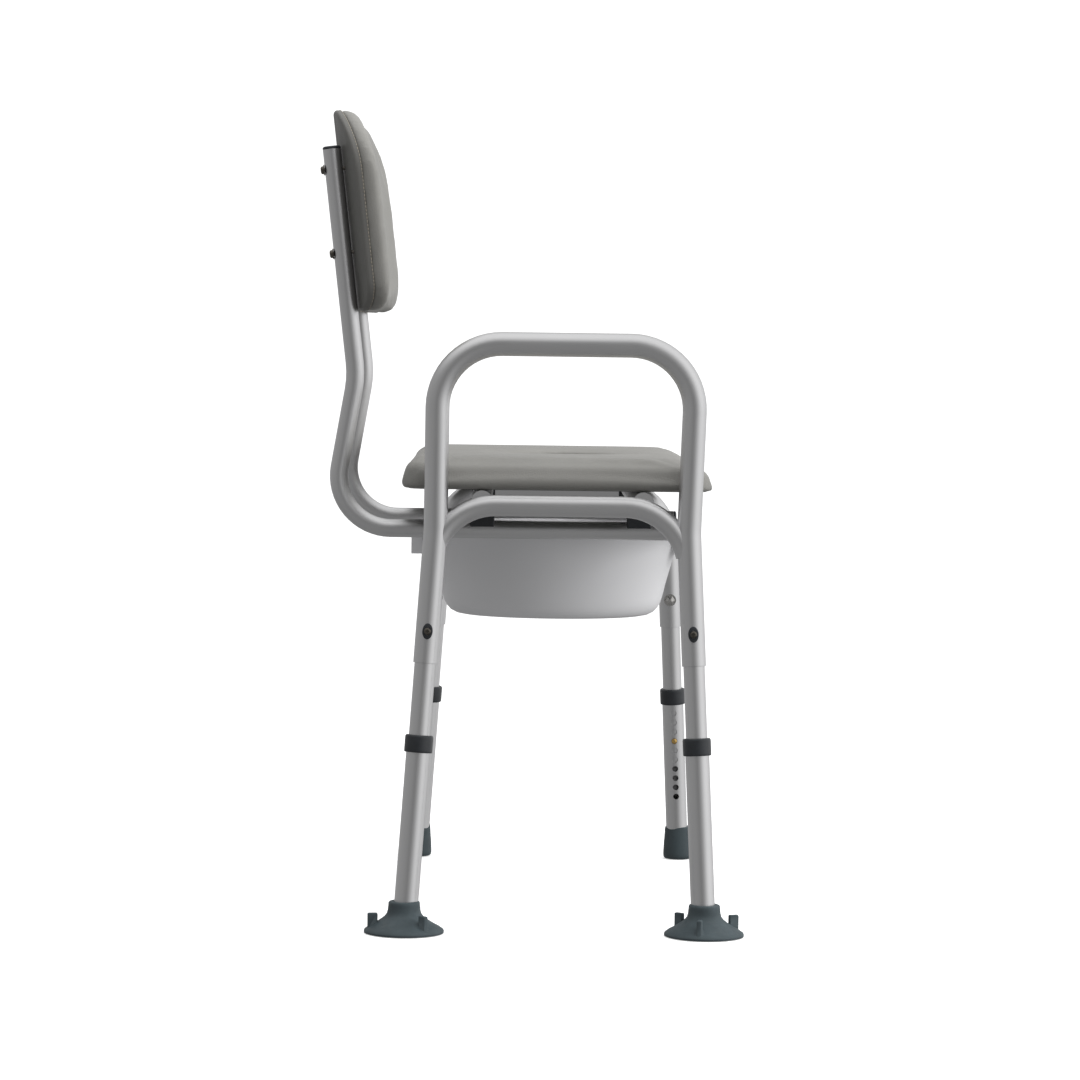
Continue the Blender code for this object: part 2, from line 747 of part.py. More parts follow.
def pail(mats):
    """Oval commode pail hung by a flat flange, with a down-turned grip at each end."""
    rim = PAIL_RIM_Z
    top = rim + PAIL_FLANGE
    outer = [(PAIL_RIM_R, rim - 1), (154.5, 437), (148.6, 416), (143.4, 397), (138.9, 378.5),
             (133.5, 366.5), (124.0, 358.5), (110.0, PAIL_FLOOR_Z)]
    inner = [(radius - PAIL_WALL, z) for radius, z in outer[:-1]]
    floor = PAIL_FLOOR_Z + PAIL_WALL
    profile = [(0, PAIL_FLOOR_Z)] + outer[::-1] + [(PAIL_RIM_R + 2, rim + 1.5)]
    profile += [(PAIL_RIM_R + 2, top + 1.8), (inner[0][0], top + 1.8)]
    profile += inner + [(108.0, floor), (0, floor)]
    centre = place(0, PAIL_F, 0)
    body = oval(turned("pail", centre, Z_AXIS, X_AXIS, profile, PAIL_SIDES, mats["pail"]), centre)
    outline = rounded_outline(
        (-PAIL_FLANGE_X, PAIL_F - PAIL_GRIP_F), (PAIL_FLANGE_X, PAIL_F + PAIL_GRIP_F),
        [55.0] * 4, steps=4,
    )
    flange = stacked("flange", [[place(x, f, z) for x, f in outline] for z in (rim, top)], None)
    grips = []
    hollows = []
    for side in (-1, 1):
        end = PAIL_F + side * PAIL_GRIP_F
        deep = end - side * PAIL_GRIP_DEPTH
        low_f, high_f = min(end, deep), max(end, deep)
        grips.append(block(
            "grip", (-PAIL_GRIP_X, low_f, PAIL_GRIP_Z), (PAIL_GRIP_X, high_f, top - 0.6), None, 1.0
        ))
        lip = (deep - side, end - side * 3)
        hollows.append(block(
            "hollow", (-PAIL_GRIP_X + 3, min(lip), PAIL_GRIP_Z - 5),
            (PAIL_GRIP_X - 3, max(lip), rim - 1), None,
        ))
    well = [(0, rim - 20), (PAIL_RIM_R - 1, rim - 20), (PAIL_RIM_R - 1, rim + 10), (0, rim + 10)]
    boolean(flange, [oval(turned("well", centre, Z_AXIS, X_AXIS, well, PAIL_SIDES, None), centre)])
    boolean(body, [flange, *grips], "UNION")
    boolean(body, hollows)


def pail_rails(mats):
    """Angle strips on the inner sides of the back tubes; the pail flange slides on them."""
    outer_x = BACK_X - BACK_R - GAP
    for name, sign in (("near", -1), ("far", 1)):
        corners = [
            (LEDGE_IN_X, LEDGE_LOW_Z), (outer_x, LEDGE_LOW_Z), (outer_x, LEDGE_WEB_Z),
            (outer_x - LEDGE_WALL, LEDGE_WEB_Z), (outer_x - LEDGE_WALL, LEDGE_TOP_Z),
            (LEDGE_IN_X, LEDGE_TOP_Z),
        ]
        layers = [
            [place(sign * x, f, z) for x, z in corners] for f in (LEDGE_REAR_F, LEDGE_FRONT_F)
        ]
        stacked(f"pail_rail_{name}", layers, mats["aluminium"])


def build():
    clear_scene()
    mats = materials()
    frames = end_frames(mats)
    seat_frame(mats)
    for leg in LEGS:
        leg_set(leg, frames[leg.end], mats)
    seat(mats)
    backrest(mats)
    saddles(mats)
    pail_rails(mats)
    pail(mats)


build()
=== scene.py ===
"""Looks of a padded commode transfer bench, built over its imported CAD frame.

Shapes repeat the CAD part's driving dimensions in millimetres: x runs along the bench (the arm end
is negative), f points the way the sitter faces, z is up. place() gives world metres.
"""

import math

import bmesh
import bpy
from mathutils import Matrix, Vector


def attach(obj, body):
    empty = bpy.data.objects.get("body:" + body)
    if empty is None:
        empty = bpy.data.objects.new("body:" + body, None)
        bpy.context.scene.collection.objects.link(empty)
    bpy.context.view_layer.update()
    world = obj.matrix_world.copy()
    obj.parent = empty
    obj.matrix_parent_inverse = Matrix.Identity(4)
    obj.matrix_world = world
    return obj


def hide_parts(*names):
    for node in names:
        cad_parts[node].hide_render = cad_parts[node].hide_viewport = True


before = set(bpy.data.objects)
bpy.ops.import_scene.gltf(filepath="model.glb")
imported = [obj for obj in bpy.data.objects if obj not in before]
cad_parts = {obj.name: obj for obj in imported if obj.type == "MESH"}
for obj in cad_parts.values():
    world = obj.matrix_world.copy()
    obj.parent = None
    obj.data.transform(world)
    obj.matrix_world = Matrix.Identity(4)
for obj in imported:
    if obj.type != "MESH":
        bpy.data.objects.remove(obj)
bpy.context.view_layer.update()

MM = 0.001

# Whole bench, in millimetres
CENTRE_X = 13.75
CENTRE_F = -34.74
FOOT_X = 350.0
FOOT_F = 177.75
SPLAY_X = 0.070
SPLAY_REAR = 0.066
SPLAY_FRONT = 0.0487
GAP = 0.3  # between pieces that are joined or rest on each other
COPE_OVERLAP = 0.2  # how far a coped tube end reaches into the tube it meets
EDGE = 0.3  # width of the bevel on most edges
BEND_STEPS = 14  # per right angle

# Tubes
FRAME_R = 14.3
FRAME_WALL = 1.0
INNER_R = 12.7
INNER_WALL = 1.2
SLEEVE_WALL = 1.2
RAIL_R = 12.7
RAIL_WALL = 1.5
RAIL_CAP = 2.0
RAIL_REACH = 312.0
BACK_R = 11.1
BACK_WALL = 1.5

# Arm hoop and end frames
FRAME_END_Z = 318.5
KNEE_Z = 476.0
KNEE_BEND = 100.0
ARM_Z = 697.4
ARM_REAR_F = -145.7
ARM_FRONT_F = 161.5
ARM_BEND = 76.0
HOOP_Z = 505.8
HOOP_R = 12.7
HOOP_SHIFT_X = 1.6
HOOP_BEND = 76.5
HOOP_TURN = math.radians(75.0)
HOOP_REAR_F = -133.6
HOOP_FRONT_F = 136.4

# Adjustable legs
LEG_BOLT_Z = 356.0
INNER_TOP_Z = 392.0
INNER_END_Z = 131.0
BUTTON_Z = 163.5
HOLE_PITCH = 12.7
HOLES_ABOVE = 3
HOLES_BELOW = 6
HOLE_R = 3.9
DRILL_FROM = 5.0
DRILL_TO = 20.0
SLEEVE_TOP_Z = 230.5
SLEEVE_END_Z = 12.0
COLLAR_LOW_Z = 212.7
COLLAR_TOP_Z = 233.4
COLLAR_R = 16.85
WASHER_TOP = FRAME_R + 3.0
WASHER_OVAL = 1.53
TAB_TURNS = {"near_front": (-11, 109, 229), "near_rear": (-82, 38, 158)}
TAB_REACH = 37.5
TAB_MIDDLE_Z = 13.5
TAB_SIZE = (12, 6, 21)

# Seat
SEAT_NEAR_X = -298.0
SEAT_FAR_X = 322.0
SEAT_REAR_F = -186.8
SEAT_FRONT_F = 184.0
SEAT_UNDER_Z = 523.5
SEAT_BOARD_TOP_Z = 527.0
SEAT_TOP_Z = 561.0
SEAT_CORNER = 28.0
OPENING_HALF_X = 105.0
OPENING_HALF_F = 80.0
OPENING_CLEARANCE = 3.0  # the cushion swells into its opening
OPENING_SIDES = 64
RAIL_CENTRE_F = 4.0
RAIL_OFFSET_F = 96.0

# Backrest
BACK_X = 165.0
BACK_LOW_Z = 470.3
BACK_FRONT_F = 157.0
BACK_HEEL_F = -280.0
BACK_KINK_F = -248.3
BACK_KINK_Z = 655.5
BACK_TOP_F = -281.0
BACK_TOP_Z = 932.0
BACK_HEEL_BEND = 64.0
BACK_KINK_BEND = 120.0
BACK_LEAN = (BACK_KINK_F - BACK_TOP_F) / (BACK_TOP_Z - BACK_KINK_Z)
BACK_BOLT_Z = (805.7, 907.5)
PAD_HALF_X = 208.0
PAD_LOW_Z = 735.0
PAD_TOP_Z = 982.0
PAD_UPPER_CORNER = 78.0
PAD_LOWER_CORNER = 36.0
PAD_MID_Z = 860.0
PAD_REAR_F = -269.8
PAD_WRAP = 26.0
BACK_BOARD = 6.0
BACK_PAD = 29.0
BACK_SWELL = 4.5  # left off the cushion's thickness, because the simulation makes it thicker
OUTLINE_STEP = 7.0
PANEL_RINGS = 10
SEAM_DEPTH = BACK_BOARD + 1.2
SEAM_INSET = 1.2
STITCH_PITCH = 4.5
STITCH_RAISE = 0.5
STITCH_SIDES = 6
STITCH_SHAPE = ((-1.5, 0.12), (-1.1, 0.4), (1.1, 0.4), (1.5, 0.12))  # place on the seam, radius

# Pail
PAIL_F = -2.6
PAIL_RIM_Z = 466.3
PAIL_FLANGE = 3.2
PAIL_FLANGE_X = 150.4
PAIL_FLANGE_CORNER = 55.0
PAIL_OVAL = 0.82
PAIL_RIM_R = 162.0
PAIL_GRIP_F = 178.5
PAIL_GRIP_X = 48.0
PAIL_GRIP_DEPTH = 14.0
PAIL_GRIP_Z = 433.0
PAIL_FLOOR_Z = 356.0
PAIL_WALL = 3.0
PAIL_SIDES = 120

ENDS = (("near", -1), ("far", 1))
X_AXIS = Vector((1, 0, 0))
Z_AXIS = Vector((0, 0, 1))


def place(x, f, z):
    """World position of a design point."""
    return Vector((x + CENTRE_X, CENTRE_F - f, z)) * MM


class Leg:
    """The straight line of one leg, from the floor up into the end frame."""

    def __init__(self, name, end, side):
        self.name = name
        self.end = end
        self.side = side
        self.splay_f = SPLAY_FRONT if side > 0 else SPLAY_REAR
        self.up = (self.at(100) - self.at(0)).normalized()
        inward = Vector((-end, 0, 0))
        self.inward = (inward - self.up * inward.dot(self.up)).normalized()

    def at(self, z):
        """The world point of the leg's centre line at a height."""
        x = self.end * (FOOT_X - SPLAY_X * z)
        f = self.side * (FOOT_F - self.splay_f * z)
        return place(x, f, z)


LEGS = [
    Leg("near_rear", -1, -1),
    Leg("near_front", -1, 1),
    Leg("far_rear", 1, -1),
    Leg("far_front", 1, 1),
]


def fillet_path(corners, radii):
    """Points along straight runs joined by arcs of the given radii (all in metres)."""
    points = [corners[0]]
    for i, radius in enumerate(radii, start=1):
        corner = corners[i]
        back = (corners[i - 1] - corner).normalized()
        ahead = (corners[i + 1] - corner).normalized()
        turn = math.pi - back.angle(ahead)
        reach = radius * math.tan(turn / 2)
        centre = corner + (back + ahead).normalized() * (radius / math.cos(turn / 2))
        start = corner + back * reach - centre
        axis = start.cross(corner + ahead * reach - centre).normalized()
        steps = max(2, math.ceil(BEND_STEPS * turn / (math.pi / 2)))
        for k in range(steps + 1):
            points.append(centre + Matrix.Rotation(turn * k / steps, 3, axis) @ start)
    points.append(corners[-1])
    return points


def circle(bm, centre, across, side, radius, sides):
    """A ring of vertices round a centre, in the plane of across and side; radius in metres."""
    loop = []
    for k in range(sides):
        angle = 2 * math.pi * (k + 0.5) / sides
        offset = across * math.cos(angle) + side * math.sin(angle)
        loop.append(bm.verts.new(centre + offset * radius))
    return loop


def rings(bm, path, radius, ref, sides):
    """One ring of vertices across the path at each of its points; radius in metres."""
    loops = []
    for i, point in enumerate(path):
        before = path[max(i - 1, 0)]
        after = path[min(i + 1, len(path) - 1)]
        into = (point - before).normalized() if i else (after - point).normalized()
        out = (after - point).normalized() if i < len(path) - 1 else into
        tangent = (into + out).normalized()
        across = (ref - tangent * ref.dot(tangent)).normalized()
        loops.append(circle(bm, point, across, tangent.cross(across), radius, sides))
    return loops


def skin(bm, loops):
    """Join each ring of vertices to the next one with faces."""
    for low, high in zip(loops, loops[1:]):
        count = len(low)
        for k in range(count):
            n = (k + 1) % count
            bm.faces.new((low[k], low[n], high[n], high[k]))


def turned(name, base, axis, ref, profile, sides, mat):
    """A turned piece; profile lists (radius, height) in millimetres.

    Where both its ends are on the axis the piece is solid, and otherwise the profile closes on itself.
    """
    axis = axis.normalized()
    across = (ref - axis * ref.dot(axis)).normalized()
    side = axis.cross(across)
    bm = bmesh.new()
    loops = []
    for radius, height in profile:
        centre = base + axis * height * MM
        if radius == 0:
            loops.append([bm.verts.new(centre)])
        else:
            loops.append(circle(bm, centre, across, side, radius * MM, sides))
    solid = profile[0][0] == 0 and profile[-1][0] == 0
    pairs = list(zip(loops, loops[1:]))
    if not solid:
        pairs.append((loops[-1], loops[0]))
    for low, high in pairs:
        for k in range(sides):
            n = (k + 1) % sides
            if len(low) == 1:
                bm.faces.new((low[0], high[n], high[k]))
            elif len(high) == 1:
                bm.faces.new((low[k], low[n], high[0]))
            else:
                bm.faces.new((low[k], low[n], high[n], high[k]))
    return finish(name, bm, mat)


def stretch_about(obj, centre, axis, factor):
    """Stretch an object's mesh by factor along one axis, away from a centre."""
    stretch = Matrix.Scale(factor, 4, axis)
    obj.data.transform(Matrix.Translation(centre) @ stretch @ Matrix.Translation(-centre))


def arm_path():
    """The arm end's tube: up the rear leg, along the arm and down the front leg."""
    rear, front = LEGS[0], LEGS[1]
    knee_rear = rear.at(KNEE_Z)
    knee_front = front.at(KNEE_Z)
    top_rear = knee_rear.copy()
    top_rear.y = place(0, ARM_REAR_F, 0).y
    top_rear.z = ARM_Z * MM
    top_front = knee_front.copy()
    top_front.y = place(0, ARM_FRONT_F, 0).y
    top_front.z = ARM_Z * MM
    corners = [
        rear.at(FRAME_END_Z), knee_rear, top_rear, top_front, knee_front, front.at(FRAME_END_Z)
    ]
    bends = [KNEE_BEND, ARM_BEND, ARM_BEND, KNEE_BEND]
    return fillet_path(corners, [b * MM for b in bends])


def far_path():
    """The far end's tube: up the rear leg, under the seat and down the front leg."""
    rear, front = LEGS[2], LEGS[3]
    corners = [rear.at(FRAME_END_Z), rear.at(HOOP_Z), front.at(HOOP_Z), front.at(FRAME_END_Z)]
    return fillet_path(corners, [HOOP_BEND * MM] * 2)


def hoop_path():
    """The seat hoop of the arm end: both its ends run down and out into the uprights."""
    reach = HOOP_BEND * math.tan(HOOP_TURN / 2) + 1
    low = HOOP_Z - reach * math.sin(HOOP_TURN)
    spread = reach * math.cos(HOOP_TURN)
    points = [
        (HOOP_REAR_F - spread, low), (HOOP_REAR_F, HOOP_Z), (HOOP_FRONT_F, HOOP_Z),
        (HOOP_FRONT_F + spread, low),
    ]
    corners = [place(SPLAY_X * z - FOOT_X + HOOP_SHIFT_X, f, z) for f, z in points]
    return fillet_path(corners, [HOOP_BEND * MM] * 2)


def rail_line(side, inset=0.0):
    """The two ends of a seat rail, or of its bore, which stops short of them by inset."""
    f = RAIL_CENTRE_F + side * RAIL_OFFSET_F
    z = SEAT_UNDER_Z - GAP - RAIL_R
    return [place(-RAIL_REACH + inset, f, z), place(RAIL_REACH - inset, f, z)]


def rounded_outline(low, high, corners, steps):
    """Outline of a rectangle with its own radius at each corner, starting at the low corner.

    Each corner's arc has the given number of steps.
    """
    (x0, y0), (x1, y1) = low, high
    centres = [
        (x0 + corners[0], y0 + corners[0], 180), (x1 - corners[1], y0 + corners[1], 270),
        (x1 - corners[2], y1 - corners[2], 0), (x0 + corners[3], y1 - corners[3], 90),
    ]
    points = []
    for (cx, cy, start), radius in zip(centres, corners):
        for k in range(steps + 1):
            angle = math.radians(start + 90 * k / steps)
            points.append((cx + radius * math.cos(angle), cy + radius * math.sin(angle)))
    return points


def stacked(name, layers, mat):
    """A solid of flat layers: each is a list of world points, all of the same length."""
    bm = bmesh.new()
    loops = [[bm.verts.new(p) for p in layer] for layer in layers]
    skin(bm, loops)
    bm.faces.new(loops[0])
    bm.faces.new(loops[-1])
    return finish(name, bm, mat)


def back_path(x):
    """A back tube: along under the seat, round the heel and up behind the backrest."""
    corners = [
        place(x, BACK_FRONT_F, BACK_LOW_Z), place(x, BACK_HEEL_F, BACK_LOW_Z),
        place(x, BACK_KINK_F, BACK_KINK_Z), place(x, BACK_TOP_F, BACK_TOP_Z),
    ]
    return fillet_path(corners, [BACK_HEEL_BEND * MM, BACK_KINK_BEND * MM])


def back_centre_f(z):
    """Where the upper back tube's centre line is at a height."""
    return BACK_KINK_F - BACK_LEAN * (z - BACK_KINK_Z)


def back_face(x, z, depth):
    """A point depth in front of the curved rear face of the back cushion."""
    f = PAD_REAR_F - BACK_LEAN * (z - PAD_MID_Z) + PAD_WRAP * (abs(x) / PAD_HALF_X) ** 4
    return place(x, f + depth, z)


def depth_of(co):
    """How far a world point is in front of the backrest's curved rear face, in millimetres."""
    x = co.x / MM - CENTRE_X
    return (back_face(x, co.z / MM, 0).y - co.y) / MM


def seat_layer(rear, front, end, z):
    """Outline of the seat at a height, drawn in at its rear, front and two ends."""
    outline = rounded_outline(
        (SEAT_NEAR_X + end, SEAT_REAR_F + rear), (SEAT_FAR_X - end, SEAT_FRONT_F - front),
        [SEAT_CORNER - rear / 2] * 4, steps=4,
    )
    return [place(x, f, z) for x, f in outline]


def opening_layers(z_low, z_high):
    """An oval column through the seat cushion."""
    half_x = OPENING_HALF_X + OPENING_CLEARANCE
    half_f = OPENING_HALF_F + OPENING_CLEARANCE
    angles = [2 * math.pi * k / OPENING_SIDES for k in range(OPENING_SIDES)]
    return [
        [place(half_x * math.cos(a), RAIL_CENTRE_F + half_f * math.sin(a), z) for a in angles]
        for z in (z_low, z_high)
    ]


def oval(obj, centre):
    """Narrow a round piece along the bench, to the pail's oval."""
    stretch_about(obj, centre, X_AXIS, PAIL_OVAL)
    return obj


# ---------------------------------------------------------------- camera, floor and light

CAMERA_X = -4950.0
CAMERA_F = -69.28
CAMERA_Z = 699.8
CAMERA_LENS = 130.29
CAMERA_YAW = math.radians(0.58)
CAMERA_DIP = math.radians(2.893)
CAMERA_ROLL = math.radians(0.765)

# the studio: sizes in metres, and how strongly it glows
DOME_RADIUS = 12.0
DOME_GLOW = 1.2
FLOOR_HALF = 14.0
FLOOR_DROP = 0.0005
FLOOR_GLOW = 0.5

# brightness of the surroundings by compass: 0 and 1 are the far end, 0.5 is the arm end, 0.25 the
# sitter's back and 0.75 the way the sitter faces
COMPASS = (
    (0.0, 0.46), (0.25, 0.36), (0.42, 0.30), (0.49, 0.18), (0.56, 0.40), (0.65, 1.0), (0.72, 1.1),
    (0.85, 0.85), (1.0, 0.46),
)
# by height, where 0 is straight down, 0.5 level and 1 straight up
GROUND_GREY = 0.26
ABOVE_GROUND = ((0.25, 0.0), (0.475, 1.0))
OVERHEAD = ((0.72, 0.0), (0.95, 1.0))


def camera():
    data = bpy.data.cameras.new("camera")
    data.sensor_width = 36.0
    data.lens = CAMERA_LENS
    data.clip_end = 50.0
    cam = bpy.data.objects.new("camera", data)
    bpy.context.scene.collection.objects.link(cam)
    forward = Vector((
        math.cos(CAMERA_DIP) * math.cos(CAMERA_YAW),
        -math.cos(CAMERA_DIP) * math.sin(CAMERA_YAW),
        -math.sin(CAMERA_DIP),
    ))
    right = forward.cross(Z_AXIS).normalized()
    up = right.cross(forward)
    tilt = Matrix.Rotation(-CAMERA_ROLL, 3, forward)
    axes = Matrix((tilt @ right, tilt @ up, -forward)).transposed()
    cam.matrix_world = Matrix.Translation(place(CAMERA_X, CAMERA_F, CAMERA_Z)) @ axes.to_4x4()
    bpy.context.scene.camera = cam


def area_light(name, place_at, target, size, power):
    """A rectangular lamp that lights the bench but isn't mirrored in it."""
    data = bpy.data.lights.new(name, "AREA")
    data.shape = "RECTANGLE"
    data.size, data.size_y = size
    data.energy = power
    lamp = bpy.data.objects.new(name, data)
    lamp.location = place_at
    aim = (Vector(target) - Vector(place_at)).to_track_quat("-Z", "Y")
    lamp.rotation_euler = aim.to_euler()
    lamp.visible_glossy = False
    bpy.context.scene.collection.objects.link(lamp)


def studio_world():
    """Grey surroundings with one bright side, white overhead and mid grey below."""
    world = bpy.data.worlds.new("studio")
    world.use_nodes = True
    nodes, links = world.node_tree.nodes, world.node_tree.links

    def math_node(operation, *values):
        node = nodes.new("ShaderNodeMath")
        node.operation = operation
        for slot, value in enumerate(values):
            if isinstance(value, (int, float)):
                node.inputs[slot].default_value = value
            else:
                links.new(value, node.inputs[slot])
        return node.outputs["Value"]

    def ramp(factor, stops):
        node = nodes.new("ShaderNodeValToRGB")
        elements = node.color_ramp.elements
        while len(elements) < len(stops):
            elements.new(1.0)
        for element, (position, level) in zip(elements, stops):
            element.position = position
            element.color = (level, level, level, 1.0)
        links.new(factor, node.inputs["Fac"])
        return node.outputs["Color"]

    def mix(low, high, factor):
        node = nodes.new("ShaderNodeMix")
        node.data_type = "RGBA"
        for name, value in (("A", low), ("B", high)):
            if isinstance(value, float):
                node.inputs[name].default_value = (value, value, value, 1.0)
            else:
                links.new(value, node.inputs[name])
        links.new(factor, node.inputs["Factor"])
        return node.outputs["Result"]

    where = nodes.new("ShaderNodeTexCoord")
    parts = nodes.new("ShaderNodeSeparateXYZ")
    links.new(where.outputs["Generated"], parts.inputs[0])
    x = math_node("MULTIPLY", parts.outputs["X"], -1.0)
    y = math_node("MULTIPLY", parts.outputs["Y"], -1.0)
    turn = math_node("ARCTAN2", y, x)
    compass = math_node("MULTIPLY_ADD", turn, 0.5 / math.pi, 0.5)
    height = math_node("MULTIPLY_ADD", parts.outputs["Z"], 0.5, 0.5)
    sky = mix(ramp(compass, COMPASS), 1.0, ramp(height, OVERHEAD))
    surroundings = mix(GROUND_GREY, sky, ramp(height, ABOVE_GROUND))
    links.new(surroundings, nodes["Background"].inputs["Color"])
    bpy.context.scene.world = world


def studio_mesh(name, bm, mat, unseen_by):
    """An object that isn't part of the bench, left out of some kinds of light ray."""
    mesh = bpy.data.meshes.new(name)
    bm.to_mesh(mesh)
    bm.free()
    obj = bpy.data.objects.new(name, mesh)
    bpy.context.scene.collection.objects.link(obj)
    mesh.materials.append(mat)
    for ray in unseen_by:
        setattr(obj, f"visible_{ray}", False)
    return obj


def glow(mat, strength):
    """Make a material give off white light."""
    shader = mat.node_tree.nodes["Principled BSDF"]
    shader.inputs["Emission Color"].default_value = (1, 1, 1, 1)
    shader.inputs["Emission Strength"].default_value = strength
    return shader


def white_dome():
    """White surroundings that only the camera sees."""
    bm = bmesh.new()
    bmesh.ops.create_uvsphere(bm, u_segments=48, v_segments=24, radius=DOME_RADIUS)
    mat = bpy.data.materials.new("dome_white")
    mat.use_nodes = True
    glow(mat, DOME_GLOW).inputs["Base Color"].default_value = (0, 0, 0, 1)
    rays = ("diffuse", "glossy", "transmission", "shadow", "volume_scatter")
    dome = studio_mesh("dome", bm, mat, rays)


def pale_floor():
    """A floor that neither lights the bench nor is mirrored in it."""
    bm = bmesh.new()
    bmesh.ops.create_grid(bm, x_segments=8, y_segments=8, size=FLOOR_HALF)
    bmesh.ops.translate(bm, vec=(0, 0, -FLOOR_DROP), verts=bm.verts)
    pale = surface("floor", (0.93, 0.93, 0.93), 0.9, tone=0.01, tone_scale=2.0)
    glow(pale, FLOOR_GLOW)
    floor = studio_mesh("floor", bm, pale, ("glossy", "diffuse"))


def studio():
    bpy.context.scene.view_settings.view_transform = "Standard"
    studio_world()
    white_dome()
    area_light("top_light", (-0.6, -0.6, 2.6), target=(0, 0, 0.4), size=(2.2, 2.2), power=44)
    area_light("side_light", (-0.9, -3.0, 1.0), target=(0, 0, 0.5), size=(1.2, 1.6), power=34)
    pale_floor()


# ---------------------------------------------------------------- materials

BUMP_REACH = 0.0006  # metres
DRAW_LINES = (2600, 9, 1)  # noise stretched along a tube, by its u and v
NOISE_SPAN = (0.3, 0.7)  # most of a noise texture's values


def surface(name, colour, roughness, metallic=0.0, tone=0.06, tone_scale=40.0, rough_vary=0.06,
            grain=None, lines=0.0, pores=None, sheen=0.0, coat=0.0):
    """A Principled material with uneven tone and roughness, plus grain, pores or draw lines.

    grain and pores are each (scale, depth of the bump), and lines is a depth.
    """
    mat = bpy.data.materials.new(name)
    mat.use_nodes = True
    nodes, links = mat.node_tree.nodes, mat.node_tree.links
    shader = nodes["Principled BSDF"]
    shader.inputs["Metallic"].default_value = metallic
    shader.inputs["Sheen Weight"].default_value = sheen
    shader.inputs["Coat Weight"].default_value = coat
    where = nodes.new("ShaderNodeTexCoord")

    def noise(scale, detail=4.0, source="Object", stretch=None):
        node = nodes.new("ShaderNodeTexNoise")
        node.inputs["Scale"].default_value = scale
        node.inputs["Detail"].default_value = detail
        vector = where.outputs[source]
        if stretch:
            mapping = nodes.new("ShaderNodeMapping")
            mapping.inputs["Scale"].default_value = stretch
            links.new(vector, mapping.inputs["Vector"])
            vector = mapping.outputs["Vector"]
        links.new(vector, node.inputs["Vector"])
        return node.outputs["Fac"]

    def remap(value, low, high):
        node = nodes.new("ShaderNodeMapRange")
        node.inputs["From Min"].default_value = NOISE_SPAN[0]
        node.inputs["From Max"].default_value = NOISE_SPAN[1]
        node.inputs["To Min"].default_value = low
        node.inputs["To Max"].default_value = high
        links.new(value, node.inputs["Value"])
        return node.outputs["Result"]

    shade = nodes.new("ShaderNodeMix")
    shade.data_type = "RGBA"
    shade.inputs["A"].default_value = (*[c * (1 - tone) for c in colour], 1)
    shade.inputs["B"].default_value = (*[min(1, c * (1 + tone)) for c in colour], 1)
    links.new(remap(noise(tone_scale), 0, 1), shade.inputs["Factor"])
    links.new(shade.outputs["Result"], shader.inputs["Base Color"])
    rough = remap(noise(tone_scale * 3), roughness - rough_vary, roughness + rough_vary)
    links.new(rough, shader.inputs["Roughness"])

    heights = []
    if grain:
        heights.append((noise(grain[0], 6.0), grain[1]))
    if lines:
        heights.append((noise(1.0, 2.0, "UV", DRAW_LINES), lines))
    if pores:
        cells = nodes.new("ShaderNodeTexVoronoi")
        cells.feature = "SMOOTH_F1"
        cells.inputs["Scale"].default_value = pores[0]
        links.new(where.outputs["Object"], cells.inputs["Vector"])
        heights.append((cells.outputs["Distance"], pores[1]))
    normal = None
    for height, depth in heights:
        bump = nodes.new("ShaderNodeBump")
        bump.inputs["Strength"].default_value = depth
        bump.inputs["Distance"].default_value = BUMP_REACH
        links.new(height, bump.inputs["Height"])
        if normal:
            links.new(normal, bump.inputs["Normal"])
        normal = bump.outputs["Normal"]
    if normal:
        links.new(normal, shader.inputs["Normal"])
    return mat


def materials():
    return {
        "aluminium": surface("satin_aluminium", (0.68, 0.68, 0.685), 0.36, 1.0, tone=0.01,
                             tone_scale=6, rough_vary=0.02, grain=(2600, 0.015), lines=0.03),
        "vinyl": surface("grey_vinyl", (0.225, 0.221, 0.207), 0.45, tone=0.05, tone_scale=9,
                         grain=(420, 0.25), pores=(900, 0.30), sheen=0.05),
        # the grey vinyl with a darker tone: the darkness is painted shade of the backrest's rear
        # behind the tubes and of the seat board under the cushion
        "board": surface("back_vinyl_painted_shade", (0.150, 0.148, 0.140), 0.5, tone=0.06, tone_scale=12,
                         grain=(700, 0.3), pores=(1100, 0.25)),
        "pail_plastic": surface("pail_plastic", (0.80, 0.80, 0.815), 0.36, tone=0.02,
                                tone_scale=6, grain=(1800, 0.06), coat=0.05),
        "rubber": surface("slate_rubber", (0.050, 0.068, 0.076), 0.58, tone=0.12, tone_scale=60,
                          grain=(1500, 0.18)),
        "black_plastic": surface("black_plastic", (0.021, 0.024, 0.028), 0.36, tone=0.15,
                                 tone_scale=80, grain=(1700, 0.10)),
        "steel": surface("bright_steel", (0.55, 0.54, 0.52), 0.22, 1.0, tone=0.08, tone_scale=120,
                         grain=(2500, 0.05)),
        # very dark steel; on the backrest bolts this darkness is painted shade of the gap between back
        # tube and board
        "dark_steel": surface("dark_steel_painted_shade", (0.13, 0.12, 0.105), 0.30, 1.0, tone=0.2,
                              tone_scale=160, grain=(2500, 0.08)),
        "thread": surface("thread", (0.36, 0.32, 0.25), 0.7, tone=0.1, tone_scale=300,
                          grain=(3000, 0.1)),
        "brass": surface("brass", (0.70, 0.46, 0.16), 0.26, 1.0, tone=0.08, tone_scale=200,
                         grain=(2500, 0.05)),
    }


# ---------------------------------------------------------------- shape helpers

SHARP_ANGLE = math.radians(35)
MERGE_DISTANCE = 1e-7


